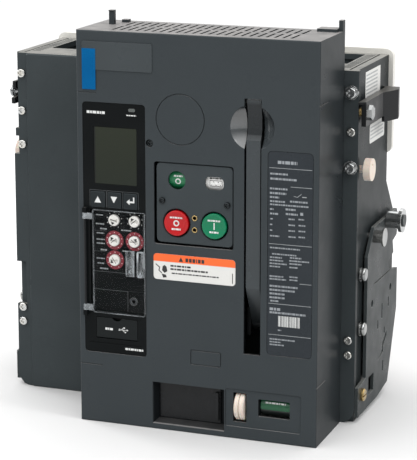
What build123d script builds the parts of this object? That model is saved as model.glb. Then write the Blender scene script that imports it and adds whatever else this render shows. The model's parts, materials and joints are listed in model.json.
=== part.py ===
from build123d import *
from math import cos, pi, sin
import os

# A four-pole withdrawable air circuit breaker, the moving portion without its cradle.
# Datum while modelling: x from the body's centre plane, y back from the cover's face,
# z up from the base. Each sub-part is shifted by half the depth when it is written.

# Driving dimensions in millimetres
POLES = 4
POLE_PITCH = 70.0
BODY_W = 314.0
BODY_H = 303.0
COVER_W = 210.0
COVER_H = 336.0
COVER_SHIFT = 40.0
PANEL_Y = 68.0
CASE_BACK_HIGH = 170.0
CASE_BACK_LOW = 195.0
BLADE_BACK = 236.0
WHEEL_PROUD = 4.0
WALL = 3.0
RUN = 0.05
GAP = 0.3

COVER_LEFT = COVER_SHIFT - COVER_W / 2
HALF = BODY_W / 2
CASE_HALF = HALF - 2.0
STRIP_Y = PANEL_Y + 2.0
CASE_FRONT = STRIP_Y + 5.0
MID_DEPTH = (BLADE_BACK - WHEEL_PROUD) / 2
POLE_X = [(i - (POLES - 1) / 2) * POLE_PITCH for i in range(POLES)]
ON_BASE = (Align.CENTER, Align.CENTER, Align.MIN)

# Side plates and rollers
PLATE_IN, PLATE_OUT = HALF, HALF + 3.0
ROLLER_Y, ROLLER_Z, ROLLER_END = 156.0, 160.0, 176.0
STUD_Y, STUD_Z = 115.0, 154.0
EARTH_Y, EARTH_Z = 84.0, 22.0
PAN_STUDS = ((88.0, 127.0), (88.0, 79.0))
GUIDE_R = 9.5
GUIDE_RIGHT, GUIDE_LEFT = (82.0, 219.0), (100.0, 211.0)
BRACKET_OUT, BRACKET_BOLT, BRACKET_TOP = 164.0, (74.0, 268.5), 278.0
LEFT_OUT, LEFT_BOLT = 160.0, (82.0, 267.0)

# Switching mechanism
SHAFT_Y, SHAFT_Z, SHAFT_R = 92.0, 130.0, 12.0
LEVER_L, LEVER_REST, ROLL_R = 46.0, 11.7, 5.0
PIVOT_Y, PIVOT_Z, PIVOT_R = 144.0, 95.0, 5.0
FINGER_H, FINGER_T, OPEN_ANGLE = 127.0, 12.0, 20.0
CHUTE_TOP = 292.0
TIP_Y = PIVOT_Y + FINGER_T / 2
CHARGE_Y, CHARGE_Z, CHARGE_R = 44.0, 140.0, 8.0
HANDLE_Y, HANDLE_Z, HANDLE_R = 26.0, 98.0, 4.0
SCREW_ROWS = (285.0, 252.0, 222.0, 73.3, 60.3)
BIG_SCREW_ROWS = (285.0, 222.0)
SCREW_X = 151.0
SCREW_END = CASE_FRONT + 3.0

# Front controls, from the cover's left edge and the base
BUTTON_Z, BUTTON_R, BUTTON_HOLE_R = 179.7, 10.6, 11.8
OPEN_X, CLOSE_X = 88.0, 121.1
DIALS = ((31.5, 177.2), (49.8, 177.4), (31.4, 159.8), (49.6, 160.1), (31.7, 142.9))
KEYS = {"key_up": (11.7, 24.7), "key_down": (27.1, 39.3), "key_enter": (41.3, 53.4)}
KEY_Z = (188.0, 201.5)
PLATE_SCREWS = (75.5, 132.4)
PLATE_SCREW_Z = 198.0


def cx(v):
    """x of a point v to the right of the cover's left edge."""
    return COVER_LEFT + v


def block(x0, x1, y0, y1, z0, z1):
    """Box between two corners."""
    return Pos((x0 + x1) / 2, (y0 + y1) / 2, (z0 + z1) / 2) * Box(x1 - x0, y1 - y0, z1 - z0)


def rod_x(x0, x1, y, z, r):
    return Pos((x0 + x1) / 2, y, z) * Rot(0, 90, 0) * Cylinder(r, x1 - x0)


def rod_y(x, y0, y1, z, r):
    return Pos(x, (y0 + y1) / 2, z) * Rot(90, 0, 0) * Cylinder(r, y1 - y0)


def rod_z(x, y, z0, z1, r):
    return Pos(x, y, (z0 + z1) / 2) * Cylinder(r, z1 - z0)


def front_plane(y):
    return Plane(origin=(0, y, 0), x_dir=(1, 0, 0), z_dir=(0, -1, 0))


def tile(x0, x1, y0, y1, z0, z1, r):
    """Slab with rounded corners as seen from the front."""
    outline = Pos((x0 + x1) / 2, (z0 + z1) / 2) * RectangleRounded(x1 - x0, z1 - z0, r)
    return extrude(front_plane(y1) * outline, y1 - y0)


def front_slab(points, y0, y1):
    """Slab with an outline of (x, z) points."""
    return extrude(front_plane(y1) * make_face(Polyline(*points, close=True)), y1 - y0)


def side_slab(points, x0, x1):
    """Slab with an outline of (y, z) points."""
    plane = Plane(origin=(x0, 0, 0), x_dir=(0, 1, 0), z_dir=(1, 0, 0))
    return extrude(plane * make_face(Polyline(*points, close=True)), x1 - x0)


def joined(shapes):
    """Fuse touching solids and keep the others apart, as one sub-part."""
    total = Part()
    for shape in shapes:
        total += shape
    return total


def mirrored(shape):
    return mirror(shape, about=Plane.YZ)


# Front cover and what is fixed in it

DISH_X, DISH_Z, DISH_R, DISH_DEPTH = 153.7, 263.6, 19.0, 9.0
BALL_R = (DISH_R ** 2 + DISH_DEPTH ** 2) / (2 * DISH_DEPTH)
RECESS = (66.3, 130.0, 5.0, 41.2)
RACK_X, RACK_Z = 98.0, 23.0
WHEEL_Y, WHEEL_Z, WHEEL_R = 8.5, 27.2, 12.5
FLAG_Y, FLAG_Z, FLAG_R = 12.6, 29.0, 9.0
COVER_POSTS = ((8.0, 8.0), (202.0, 8.0), (8.0, 328.0), (202.0, 328.0))
BOSS_X, BOSS_Z = 64.7, 245.1


def cover_shell():
    shell = block(cx(0), cx(COVER_W), 0, PANEL_Y, 0, COVER_H)
    shell = fillet(shell.edges().group_by(Axis.Y)[0], 1.4)
    shell -= block(cx(WALL), cx(COVER_W - WALL), WALL, PANEL_Y + 1, WALL, COVER_H - WALL)
    bowl = Pos(cx(DISH_X), DISH_DEPTH - BALL_R, DISH_Z) * Sphere(BALL_R + 2.5)
    bowl &= block(cx(100), cx(COVER_W), 1, 30, 220, 310)
    shell += bowl
    x0, x1, z0, z1 = RECESS
    shell += block(cx(x0 - 2.3), cx(x1 + 2), 1, 14.5, z0 - 3, z1 + 2.3)
    for x, z in COVER_POSTS:
        shell += rod_y(cx(x), 2, PANEL_Y, z, 4.5)
    shell += rod_y(cx(BOSS_X), 2, PANEL_Y, BOSS_Z, 3.6)
    for x in (134.5, 150.2):
        shell += block(cx(x), cx(x + 2.8), 2, 14, 21, 33.5)
    for x in (157.4, 188.8):
        shell += block(cx(x), cx(x + 2.8), 2, 18, 22, 36)
    return shell


def shutter_pocket():
    """Bevelled pocket, the shutter's side slot and the hole for the racking crank."""
    x0, x1, z0, z1 = RECESS
    centre = Pos(cx((x0 + x1) / 2), (z0 + z1) / 2)
    floor = front_plane(9.0) * centre * Rectangle(x1 - x0 - 6, z1 - z0 - 6)
    mouth = front_plane(-1.0) * centre * Rectangle(x1 - x0 + 1, z1 - z0 + 1)
    pocket = loft([floor.face(), mouth.face()])
    pocket += block(cx(x0 + 1), cx(x1 - 3), 8.9, 12.2, z0 + 2.4, z1 - 2.2)
    pocket += block(cx(x0 - 4), cx(x0 + 4), 9.2, 12.2, z0 + 2.4, z1 - 2.2)
    pocket += rod_y(cx(RACK_X), 10, 16, RACK_Z, 9.5)
    return pocket


def cover_vents():
    """Rows of slots through the top wall."""
    slots = Part()
    for i in range(23):
        x = cx(28 + i * 7.0)
        for y0, y1 in ((9, 32), (37, 60)):
            slots += block(x, x + 2.2, y0, y1, COVER_H - 4, COVER_H + 1)
    return slots


def cover_grooves():
    """Joint lines and the outlines of the knock-outs in the front face."""
    cut = rod_y(cx(91.8), -1, 0.8, 266.4, 21.4) - rod_y(cx(91.8), -1, 0.8, 266.4, 20.6)
    knock_out = tile(cx(100.3), cx(127.5), -1, 0.7, 60, 73, 1.5)
    cut += knock_out - tile(cx(101.1), cx(126.7), -1, 0.7, 60.8, 72.2, 1)
    cut += block(cx(-1), cx(17.4), -1, 0.6, 284.1, 284.9)
    cut += block(cx(-1), cx(20.5), -1, 0.6, 50.6, 51.4)
    for z in (51.0, 284.5):
        cut += block(cx(-1), cx(0.6), -1, 26, z - 0.4, z + 0.4)
        cut += block(cx(COVER_W - 0.6), cx(COVER_W + 1), -1, 26, z - 0.4, z + 0.4)
    return cut


def front_cover():
    shell = cover_shell()
    shell -= tile(cx(5), cx(61), -1, WALL + 1, 62, 276.6, 3)
    shell -= tile(cx(68.5), cx(138), -1, WALL + 1, 161, 230.5, 2.5)
    shell -= Pos(cx(DISH_X), DISH_DEPTH - BALL_R, DISH_Z) * Sphere(BALL_R)
    shell -= block(cx(147), cx(161.5), -1, 16, 74, 287)
    shell -= tile(cx(131), cx(197), -1, 0.8, 10.5, 43, 2)
    shell -= block(cx(138), cx(149.5), -1, WALL + 1, 14.7, 39.8)
    shell -= tile(cx(159.8), cx(187.2), -1, WALL + 1, 21.5, 36.3, 1)
    shell -= tile(cx(167), cx(205.5), -1, 1.0, 75.5, 246, 4)
    shell -= shutter_pocket()
    shell -= cover_vents()
    shell -= cover_grooves()
    shell -= rod_y(cx(BOSS_X), -1, 3.5, BOSS_Z, 3.2) + rod_y(cx(BOSS_X), 3, PANEL_Y + 1, BOSS_Z, 2.1)
    shell -= rod_x(cx(134), cx(154), WHEEL_Y, WHEEL_Z, 2 + RUN)
    shell -= rod_x(cx(157), cx(192), FLAG_Y, FLAG_Z, 2 + RUN)
    for x, z in COVER_POSTS:
        shell -= rod_y(cx(x), 30, PANEL_Y + 1, z, 1.7)
    shell += block(cx(190), cx(206.8), 55, PANEL_Y, COVER_H - 1, COVER_H + 2.5)
    shell += block(cx(206.5), cx(COVER_W), 62, PANEL_Y, COVER_H - 1, COVER_H + 9)
    shell += block(cx(18.6), cx(24.2), 54, 60, COVER_H - 1, COVER_H + 2.5)
    hook = [(39, COVER_H - 1), (39, COVER_H + 11), (37.5, COVER_H + 12), (43, COVER_H + 12),
            (43, COVER_H - 1)]
    shell += side_slab(hook, cx(13.2), cx(17.8))
    return shell


def badge_plate():
    plate = tile(cx(5.6), cx(67.5), -0.7, 0, 303.5, 327, 1.2)
    return plate


def nameplate():
    return tile(cx(167.3), cx(205.2), 0.15, 1.0, 75.8, 245.7, 3.7)


def control_label():
    return tile(cx(67.9), cx(139.8), -0.25, 0, 131, 153, 3)


def control_plate():
    plate = tile(cx(70.3), cx(137), 1.0, 3.0, 162.7, 229.7, 4)
    plate = chamfer(plate.edges().group_by(Axis.Y)[0], 0.5)
    for x in (OPEN_X, CLOSE_X):
        plate -= rod_y(cx(x), 0, 4, BUTTON_Z, BUTTON_HOLE_R)
        plate -= Pos(cx(x), 0.9, BUTTON_Z) * Rot(-90, 0, 0) * Cone(BUTTON_HOLE_R + 0.8, BUTTON_HOLE_R, 0.8,
                                                                   align=ON_BASE)
    plate -= rod_y(cx(88.2), 0, 4, 215.6, 7.7)
    plate -= tile(cx(112.9), cx(129.1), 0, 4, 209.8, 220.7, 4.2)
    for z in (175.1, 185.0):
        plate -= rod_y(cx(103.8), 0, 4, z, 2.4)
    for x in PLATE_SCREWS:
        plate -= rod_y(cx(x), 0, 4, PLATE_SCREW_Z, 1.6)
    return plate


# Trip unit

BEZEL_Y0, BEZEL_Y1, DIAL_FACE = 0.4, 6.4, 3.4
SETTINGS_PIN = (6.9, -1.8, 1.0)
AUX_PIN_Y, AUX_PIN_Z = 1.5, 76.0


def trip_unit_housing():
    unit = tile(cx(5.2), cx(60.8), BEZEL_Y0, BEZEL_Y1, 62.2, 276.4, 2.8)
    case = block(cx(7), cx(59), BEZEL_Y1 - 0.5, 56, 64, 274)
    unit += case - block(cx(9), cx(57), BEZEL_Y1 - 1, 54, 66, 272)
    unit -= tile(cx(14.8), cx(53.3), -1, 2.0, 207.8, 256.2, 1)
    unit -= tile(cx(46), cx(52.2), -1, 7, 269.9, 272.9, 1.4)
    for x0, x1 in KEYS.values():
        unit -= tile(cx(x0 - GAP), cx(x1 + GAP), -1, 7, KEY_Z[0] - GAP, KEY_Z[1] + GAP, 1.5)
    unit -= tile(cx(10.5), cx(59.4), -1, DIAL_FACE, 97.5, 186, 1.5)
    for x, z in DIALS:
        unit -= rod_y(cx(x), 0, 7, z, 5.1)
    unit += tile(cx(43.8), cx(58), DIAL_FACE - 0.9, DIAL_FACE + 1, 99.5, 117, 1)
    unit -= rod_y(cx(48.7), 0, 7, 108.6, 3.5)
    unit -= block(cx(15.2), cx(52.8), -1, 3.0, 74.5, 93.3)
    unit -= block(cx(20), cx(48), 2, 14, 79, 91)
    unit -= rod_x(cx(14.2), cx(53.8), AUX_PIN_Y, AUX_PIN_Z, 0.7 + RUN)
    unit -= block(cx(9), cx(57), -1, 1.0, 70.2, 70.9)
    x, y, r = SETTINGS_PIN
    for z in (94.4, 183.2):
        unit += block(cx(x - 1.7), cx(x + 1.7), y - 1.9, BEZEL_Y0 + 0.5, z, z + 4)
    unit -= rod_z(cx(x), y, 94, 188, r + 0.02)
    return unit


def settings_cover_pin():
    x, y, r = SETTINGS_PIN
    return rod_z(cx(x), y, 94.4, 187.2, r)


def settings_cover():
    """Clear hinged lid with two hinge arms and two moulded catches."""
    lid = tile(cx(13.5), cx(60.4), -1.5, 0.1, 97, 186, 1.5)
    lid -= tile(cx(15), cx(59), -1, 0.5, 98.5, 184.5, 1)
    lid += tile(cx(43.6), cx(51), -2.4, -0.9, 131, 152.6, 1)
    lid += tile(cx(53.9), cx(60.2), -3.2, -0.9, 131, 153, 1.5)
    x, y, r = SETTINGS_PIN
    for z in (99.0, 177.8):
        lid += block(cx(x), cx(16), y - 0.9, y + 0.9, z, z + 5)
        lid += rod_z(cx(x), y, z, z + 5, 1.9)
    lid -= rod_z(cx(x), y, 95, 187, r + RUN)
    return lid


def display_window():
    return tile(cx(15.1), cx(53.0), 0.7, 2.0, 208.1, 255.9, 0.8)


def status_led():
    return tile(cx(46.1), cx(52.1), 0.1, 6.3, 270.0, 272.8, 1.3)


def key(name):
    x0, x1 = KEYS[name]
    cap = tile(cx(x0), cx(x1), -0.5, 5, KEY_Z[0], KEY_Z[1], 1.2)
    cap = fillet(cap.edges().group_by(Axis.Y)[0], 0.5)
    cap += tile(cx(x0), cx(x1), 4.9, 7, KEY_Z[0], KEY_Z[1], 1.2)
    cap += block(cx(x0 - 0.7), cx(x1 + 0.7), 6.8, 8.2, KEY_Z[0] - 1.5, KEY_Z[1] + 1.5)
    return cap


def dial(x, z):
    """Rotary setting switch with a screwdriver slot and an index notch."""
    knob = rod_y(cx(x), 1.1, 7, z, 4.8)
    knob = chamfer(knob.edges().group_by(Axis.Y)[0], 0.5)
    knob += rod_y(cx(x), 6.9, 8.3, z, 5.9)
    knob += rod_y(cx(x), 8.2, 14, z, 2.2)
    knob -= block(cx(x - 3.4), cx(x + 3.4), 0, 2.3, z - 0.65, z + 0.65)
    knob -= block(cx(x + 2.4), cx(x + 3.4), 0, 2.3, z - 1.4, z + 1.4)
    return knob


def test_socket():
    return rod_y(cx(48.7), 2.0, 11, 108.6, 3.45) - rod_y(cx(48.7), 1, 9, 108.6, 1.8)


def aux_port_cover():
    flap = block(cx(15.6), cx(52.4), 0.4, 2.0, AUX_PIN_Z, 92.8)
    flap -= rod_y(cx(34), 0, 3, 95.3, 5)
    flap += rod_x(cx(15.6), cx(52.4), AUX_PIN_Y, AUX_PIN_Z, 1.1)
    flap += rod_x(cx(14.5), cx(53.5), AUX_PIN_Y, AUX_PIN_Z, 0.7)
    return flap


def trip_unit_board():
    """Circuit board with its processor, relays and connector."""
    board = block(cx(11), cx(55), 24, 25.6, 70, 268)
    for x0, x1, z0, z1, t in ((18, 34, 225, 241, 3), (38, 52, 236, 250, 9), (16, 50, 74, 84, 9),
                              (15, 27, 190, 206, 12), (31, 43, 190, 206, 12), (20, 46, 130, 150, 5)):
        board += block(cx(x0), cx(x1), 25.5, 25.6 + t, z0, z1)
    return board


# Buttons, handle and indicators

def push_button(x):
    cap = rod_y(cx(x), -0.6, 7, BUTTON_Z, BUTTON_R)
    cap = fillet(cap.edges().group_by(Axis.Y)[0], 0.8)
    cap -= Pos(cx(x), -39.6, BUTTON_Z) * Sphere(40)
    return cap + rod_y(cx(x), 6.9, 24, BUTTON_Z, 4)


def charging_handle():
    profile = [(17.4, 96), (0.8, 130), (0.8, 253), (3.4, 257), (4.6, 262), (4.6, 272), (2.6, 282),
               (1.6, 286), (13, 286), (18, 276), (20, 250), (20, 140), (34.5, 100)]
    blade = side_slab(profile, cx(148.5), cx(160.5))
    blade = fillet(blade.edges().filter_by(Axis.X).group_by(Axis.Y)[0], 1.0)
    blade -= block(cx(151.5), cx(157.5), 6, 21, 142, 250)
    blade += rod_x(cx(148.5), cx(160.5), HANDLE_Y, HANDLE_Z, 9)
    return blade - rod_x(cx(148), cx(161), HANDLE_Y, HANDLE_Z, HANDLE_R + RUN)


def indicator_drum(x0, x1, y, z, r, axle0, axle1):
    return rod_x(cx(x0), cx(x1), y, z, r) + rod_x(cx(axle0), cx(axle1), y, z, 2)


def selector_wheel():
    """Smooth grooved thumbwheel on its axle."""
    wheel = rod_x(cx(139.5), cx(148), WHEEL_Y, WHEEL_Z, WHEEL_R)
    wheel = chamfer(wheel.edges(), 0.9)
    wheel -= rod_x(cx(143.4), cx(144.3), WHEEL_Y, WHEEL_Z, WHEEL_R + 1) - rod_x(
        cx(143), cx(145), WHEEL_Y, WHEEL_Z, WHEEL_R - 0.9)
    return wheel + rod_x(cx(134.6), cx(152.9), WHEEL_Y, WHEEL_Z, 2)


def racking_shutter():
    x0, x1, z0, z1 = RECESS
    plate = block(cx(x0 + 1.8), cx(x1 - 6.5), 9.6, 11.6, z0 + 3, z1 - 2.8)
    return plate + block(cx(x1 - 10.5), cx(x1 - 7.5), 7, 9.7, z0 + 6, z1 - 6)


def racking_shaft():
    """Crank shaft with a hexagonal nose and a worm."""
    nose = extrude(front_plane(30) * Pos(cx(RACK_X), RACK_Z) * RegularPolygon(5.8, 6), 12)
    shaft = nose + rod_y(cx(RACK_X), 29, CASE_FRONT - 1, RACK_Z, 7.5)
    shaft += rod_y(cx(RACK_X), 34, 37, RACK_Z, 11)
    for i in range(6):
        shaft -= rod_y(cx(RACK_X), 41 + i * 4, 43 + i * 4, RACK_Z, 9) - rod_y(
            cx(RACK_X), 40, 70, RACK_Z, 6.2)
    return shaft


# Body: front panel, casing and rear

def front_panel():
    left = -HALF
    outline = [(left, 0), (left, 76), (-148, 76), (-148, 115), (left, 115), (left, 213),
               (-152, 213), (-152, 229), (-155.5, 229), (-155.5, 236), (-152, 236), (-152, BODY_H),
               (HALF, BODY_H), (HALF, 0)]
    panel = front_slab(outline, STRIP_Y, CASE_FRONT)
    panel = fillet(panel.edges().filter_by(Axis.Y).group_by(Axis.Z)[0], 12)
    raised = tile(-144, 144, PANEL_Y, STRIP_Y + 0.5, 0, BODY_H, 2)
    raised = chamfer(raised.edges().group_by(Axis.Y)[0], 1.2)
    panel += raised
    panel -= block(cx(68), cx(140), PANEL_Y - 1, CASE_FRONT + 1, 104, 190)
    panel -= block(cx(168), cx(200), PANEL_Y - 1, CASE_FRONT + 1, 60, 90)
    panel -= rod_y(cx(RACK_X), PANEL_Y - 1, CASE_FRONT + 1, RACK_Z, 7.5 + RUN)
    for side in (-1, 1):
        for z in SCREW_ROWS:
            x = screw_x(side, z)
            panel -= rod_y(x, PANEL_Y - 1, CASE_FRONT + 1, z, 2.05)
    for x, z in COVER_POSTS + ((BOSS_X, BOSS_Z),):
        panel -= rod_y(cx(x), PANEL_Y - 1, CASE_FRONT + 1, z, 1.75)
    return panel


def screw_x(side, z):
    """The upper left screws stand a little further in, beside the notch."""
    inset = 2.5 if side < 0 and z > 200 else 0
    return side * (SCREW_X - inset)


def casing_profile(wall):
    """Side outline of the moulded case, offset inwards by a wall thickness."""
    high, low = CASE_BACK_HIGH - wall, CASE_BACK_LOW - wall
    return [(CASE_FRONT, wall), (CASE_FRONT, BODY_H - wall), (high, BODY_H - wall), (high, 191 - wall / 2),
            (low, 160 - wall / 2), (low, 40 + wall / 2), (high, 5 + wall / 2), (165 - wall, wall)]


def pole_casing():
    case = side_slab(casing_profile(0), -CASE_HALF, CASE_HALF)
    inner = casing_profile(5)
    inner = [(y - (1 if y == CASE_FRONT else 0), z) for y, z in inner]
    for x in POLE_X:
        case -= side_slab(inner, x - 33, x + 33)
        case -= block(x - 31, x + 31, 106, 163, BODY_H - 6, BODY_H + 1)
        case -= block(x - 20.4, x + 20.4, 150, 200, 218.6, 231.4)
        case -= block(x - 20.4, x + 20.4, 150, 200, 79.6, 92.4)
    for side in (-1, 1):
        inside, outside = sorted((side * 141, side * 150))
        case -= block(inside, outside, CASE_FRONT - 1, 160, 10, 290)
        for z in SCREW_ROWS:
            case -= rod_y(screw_x(side, z), CASE_FRONT - 1, CASE_FRONT + 12, z, 2.05)
        holes = (GUIDE_RIGHT,) if side > 0 else (GUIDE_LEFT, LEFT_BOLT)
        for y, z in PAN_STUDS + ((STUD_Y, STUD_Z), (EARTH_Y, EARTH_Z)) + holes:
            case -= rod_x(min(side * 145, side * 160), max(side * 145, side * 160), y, z, 3.05)
        groove = sorted((side * 147.0, side * 148.4))
        case -= block(*groove, CASE_FRONT - 1, CASE_BACK_HIGH + 1, BODY_H - 1.2, BODY_H + 1)
    for x, z in COVER_POSTS + ((BOSS_X, BOSS_Z),):
        case -= rod_y(cx(x), CASE_FRONT - 1, CASE_FRONT + 12, z, 1.75)
    bore = rod_x(-141, 141, SHAFT_Y, SHAFT_Z, SHAFT_R + RUN)
    slot = block(-141, 141, CASE_FRONT - 1, SHAFT_Y, SHAFT_Z - SHAFT_R - RUN, SHAFT_Z + SHAFT_R + RUN)
    case -= bore + slot
    for x0 in (-145.4, 137.6):
        for i in range(14):
            case -= block(x0, x0 + 7.8, 86 + i * 5.6, 88.2 + i * 5.6, BODY_H - 2, BODY_H + 1)
    return case


def arc_chute(x):
    """Vented cap, two cheeks and a stack of steel splitter plates."""
    cap = block(x - 30.6, x + 30.6, 106.4, 162.6, CHUTE_TOP - 5, CHUTE_TOP)
    for i in range(7):
        y = 111 + i * 7.4
        cap -= block(x - 25, x + 25, y, y + 3.2, CHUTE_TOP - 2, CHUTE_TOP + 1)
        cap -= block(x - 22, x + 22, y + 0.8, y + 2.4, CHUTE_TOP - 6, CHUTE_TOP)
    cheeks = Part()
    for side in (-1, 1):
        inside, outside = sorted((x + side * 27, x + side * 30))
        cheeks += block(inside, outside, 108, 162, 229, CHUTE_TOP - 4.5)
    pieces = [cap + cheeks]
    for i in range(8):
        y = 112 + i * 6.2
        plate = block(x - 26.5, x + 26.5, y, y + 1.6, 232, CHUTE_TOP - 6)
        plate -= block(x - 5, x + 5, y - 1, y + 3, 231, 248)
        pieces.append(plate)
    return pieces


def arc_chutes():
    return joined([piece for x in POLE_X for piece in arc_chute(x)])


def blade_bar(x, y0, z0, z1):
    """Flat copper bar with a chamfered plug-in end at the back."""
    bar = block(x - 20, x + 20, y0, BLADE_BACK, z0, z1)
    return chamfer(bar.edges().filter_by(Axis.X).group_by(Axis.Y)[-1], 3)


def upper_terminals():
    bars = []
    for x in POLE_X:
        bar = blade_bar(x, TIP_Y + GAP + 3, 219, 231)
        bar += block(x - 20, x + 20, TIP_Y + GAP + 3, TIP_Y + 12, 192, 220)
        bar += block(x - 17, x + 17, TIP_Y + GAP, TIP_Y + 4, 196, 214)
        bars.append(bar)
    return joined(bars)


def lower_terminals():
    bars = []
    for x in POLE_X:
        bar = blade_bar(x, 160, 80, 92)
        for side in (-1, 1):
            inside, outside = sorted((x + side * 19.5, x + side * 23.5))
            bar += block(inside, outside, PIVOT_Y - 9, 168, 84, 104)
        bar += block(x - 23.5, x + 23.5, 160, 168, 80, 92)
        bar += rod_x(x - 23.5, x + 23.5, PIVOT_Y, PIVOT_Z, PIVOT_R)
        bars.append(bar)
    return joined(bars)


def current_sensors():
    rings = []
    for x in POLE_X:
        ring = tile(x - 29, x + 29, 170, 186, 58, 114, 8)
        rings.append(ring - block(x - 20.4, x + 20.4, 165, 190, 79.6, 92.4))
    return joined(rings)


def moving_contact(x):
    """Six parallel contact fingers on a cross-piece, leaning open at rest."""
    front, back = PIVOT_Y - FINGER_T / 2, PIVOT_Y + FINGER_T / 2
    top = PIVOT_Z + FINGER_H
    fingers = Part()
    for i in range(6):
        x0 = x - 17.5 + i * 6
        fingers += block(x0, x0 + 5, front, back, PIVOT_Z, top)
    fingers += rod_x(x - 17.5, x + 17.5, PIVOT_Y, PIVOT_Z, 8.5)
    fingers += block(x - 17.5, x + 17.5, front, back, 135, 170)
    fingers -= rod_x(x - 20, x + 20, PIVOT_Y, PIVOT_Z, PIVOT_R + RUN)
    axis = Axis((x, PIVOT_Y, PIVOT_Z), (1, 0, 0))
    return fingers.rotate(axis, OPEN_ANGLE)


def lever_point(radius, angle):
    """Point at an angle back from the upright of the pole shaft."""
    turn = pi * angle / 180
    return SHAFT_Y + radius * sin(turn), SHAFT_Z + radius * cos(turn)


def pole_shaft():
    shaft = rod_x(-139, 139, SHAFT_Y, SHAFT_Z, SHAFT_R)
    y, z = lever_point(LEVER_L, LEVER_REST)
    for x in POLE_X:
        for x0 in (x - 12, x + 7):
            shaft += lever(x0, x0 + 5, LEVER_L, LEVER_REST)
        shaft += rod_x(x - 12, x + 12, y, z, ROLL_R)
    shaft += lever(18, 24, 34, -75)
    y, z = lever_point(34, -75)
    return shaft - rod_x(17, 25, y, z, 2.6)


def lever(x0, x1, length, angle):
    """Tapered crank arm from the shaft's centre to a rounded end."""
    arm = Pos(x0, SHAFT_Y, SHAFT_Z) * block(0, x1 - x0, -4.4, 4.4, 0, length)
    arm = arm.rotate(Axis((x0, SHAFT_Y, SHAFT_Z), (1, 0, 0)), -angle)
    y, z = lever_point(length, angle)
    return arm + rod_x(x0, x1, y, z, ROLL_R) + rod_x(x0, x1, SHAFT_Y, SHAFT_Z, SHAFT_R + 4)


# Operating mechanism between the cover and the panel

FRAME_L, FRAME_R = 72.0, 133.0


def mechanism_frame():
    sides = [(5.2, 160), (5.2, 232), (34, 243), (66, 243), (66, 100), (36, 100), (14, 160)]
    frame = side_slab(sides, cx(FRAME_L), cx(FRAME_L + 3))
    frame += side_slab(sides, cx(FRAME_R), cx(FRAME_R + 3))
    guide = block(cx(FRAME_L + 2), cx(FRAME_R + 1), 14, 16, 166, 193)
    for x in (OPEN_X, CLOSE_X):
        guide -= rod_y(cx(x), 13, 17, BUTTON_Z, 4 + RUN)
    frame += guide
    frame += block(cx(FRAME_L + 2), cx(FRAME_R + 1), 30, 32, 202, 234)
    frame += block(cx(FRAME_L + 2), cx(FRAME_R + 1), 34, 62, 238, 241)
    frame += block(cx(FRAME_L + 2), cx(FRAME_R + 1), 34, 62, 160, 163)
    frame += block(cx(102.2), cx(104.8), 10, 31, 206, 226)
    for x in (FRAME_L, 129):
        frame += block(cx(x), cx(x + 7), 3.2, 5.4, 192, 204)
    frame += block(cx(FRAME_R), cx(164), 62, 65, 86, 112)
    for x in (144.8, 161.2):
        frame += block(cx(x), cx(x + 2.8), 16, 64, 86, 110)
    frame += block(cx(FRAME_R - 20), cx(FRAME_R + 1), 63, 66, 100, 112)
    frame -= rod_x(cx(FRAME_L - 1), cx(FRAME_R + 4), CHARGE_Y, CHARGE_Z, CHARGE_R + RUN)
    frame -= rod_x(cx(FRAME_L - 1), cx(FRAME_R + 4), 15, 215.6, 2 + RUN)
    frame -= rod_x(cx(144), cx(165), HANDLE_Y, HANDLE_Z, HANDLE_R + 0.02)
    for x in PLATE_SCREWS:
        frame -= rod_y(cx(x), 3, 8, PLATE_SCREW_Z, 1.6)
    return frame


def handle_pin():
    pin = rod_x(cx(144.8), cx(164), HANDLE_Y, HANDLE_Z, HANDLE_R)
    return pin + rod_x(cx(164.0), cx(166), HANDLE_Y, HANDLE_Z, 6)


def charging_shaft():
    """Cam shaft with its ratchet wheel outside the frame."""
    shaft = rod_x(cx(FRAME_L - 2), cx(142), CHARGE_Y, CHARGE_Z, CHARGE_R)
    shaft += rod_x(cx(98), cx(110), CHARGE_Y - 3, CHARGE_Z + 2, 14)
    teeth, tip, root = 20, 19.0, 16.0
    outline = []
    for i in range(teeth):
        lead, trail = 2 * pi * i / teeth, 2 * pi * (i + 0.12) / teeth
        outline.append((CHARGE_Y + tip * cos(lead), CHARGE_Z + tip * sin(lead)))
        outline.append((CHARGE_Y + root * cos(trail), CHARGE_Z + root * sin(trail)))
    return shaft + side_slab(outline, cx(FRAME_R + 3.6), cx(142))


def coil_spring(x, y, z0, z1, radius, wire, turns):
    path = Helix((z1 - z0) / turns, z1 - z0, radius, center=(x, y, z0))
    section = Plane(origin=path @ 0, z_dir=path % 0) * Circle(wire)
    return sweep(section, path=path)


def closing_springs():
    return joined([coil_spring(cx(x), 47, 165.2, 235.8, 9.5, 1.8, 8) for x in (90, 117)])


def charging_motor():
    motor = rod_z(cx(186), 36, 100, 172, 17)
    motor += block(cx(168), cx(204), 16, 58, 170, 204)
    motor += rod_z(cx(186), 36, 92, 101, 8)
    motor += rod_x(cx(165.5), cx(169), 36, 187, 6)
    return motor


def release_coils():
    """Opening and closing solenoids with their plungers."""
    coils = []
    for x in (75.5, 107.5):
        frame = block(cx(x), cx(x + 26), 18, 62, 248, 276)
        frame -= block(cx(x - 1), cx(x + 27), 20.5, 59.5, 250.5, 273.5)
        coils.append(frame + rod_y(cx(x + 13), 20, 60, 262, 11) + rod_y(cx(x + 13), 12, 66, 262, 2.5))
    return joined(coils)


# Side plates, rollers and fasteners

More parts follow.
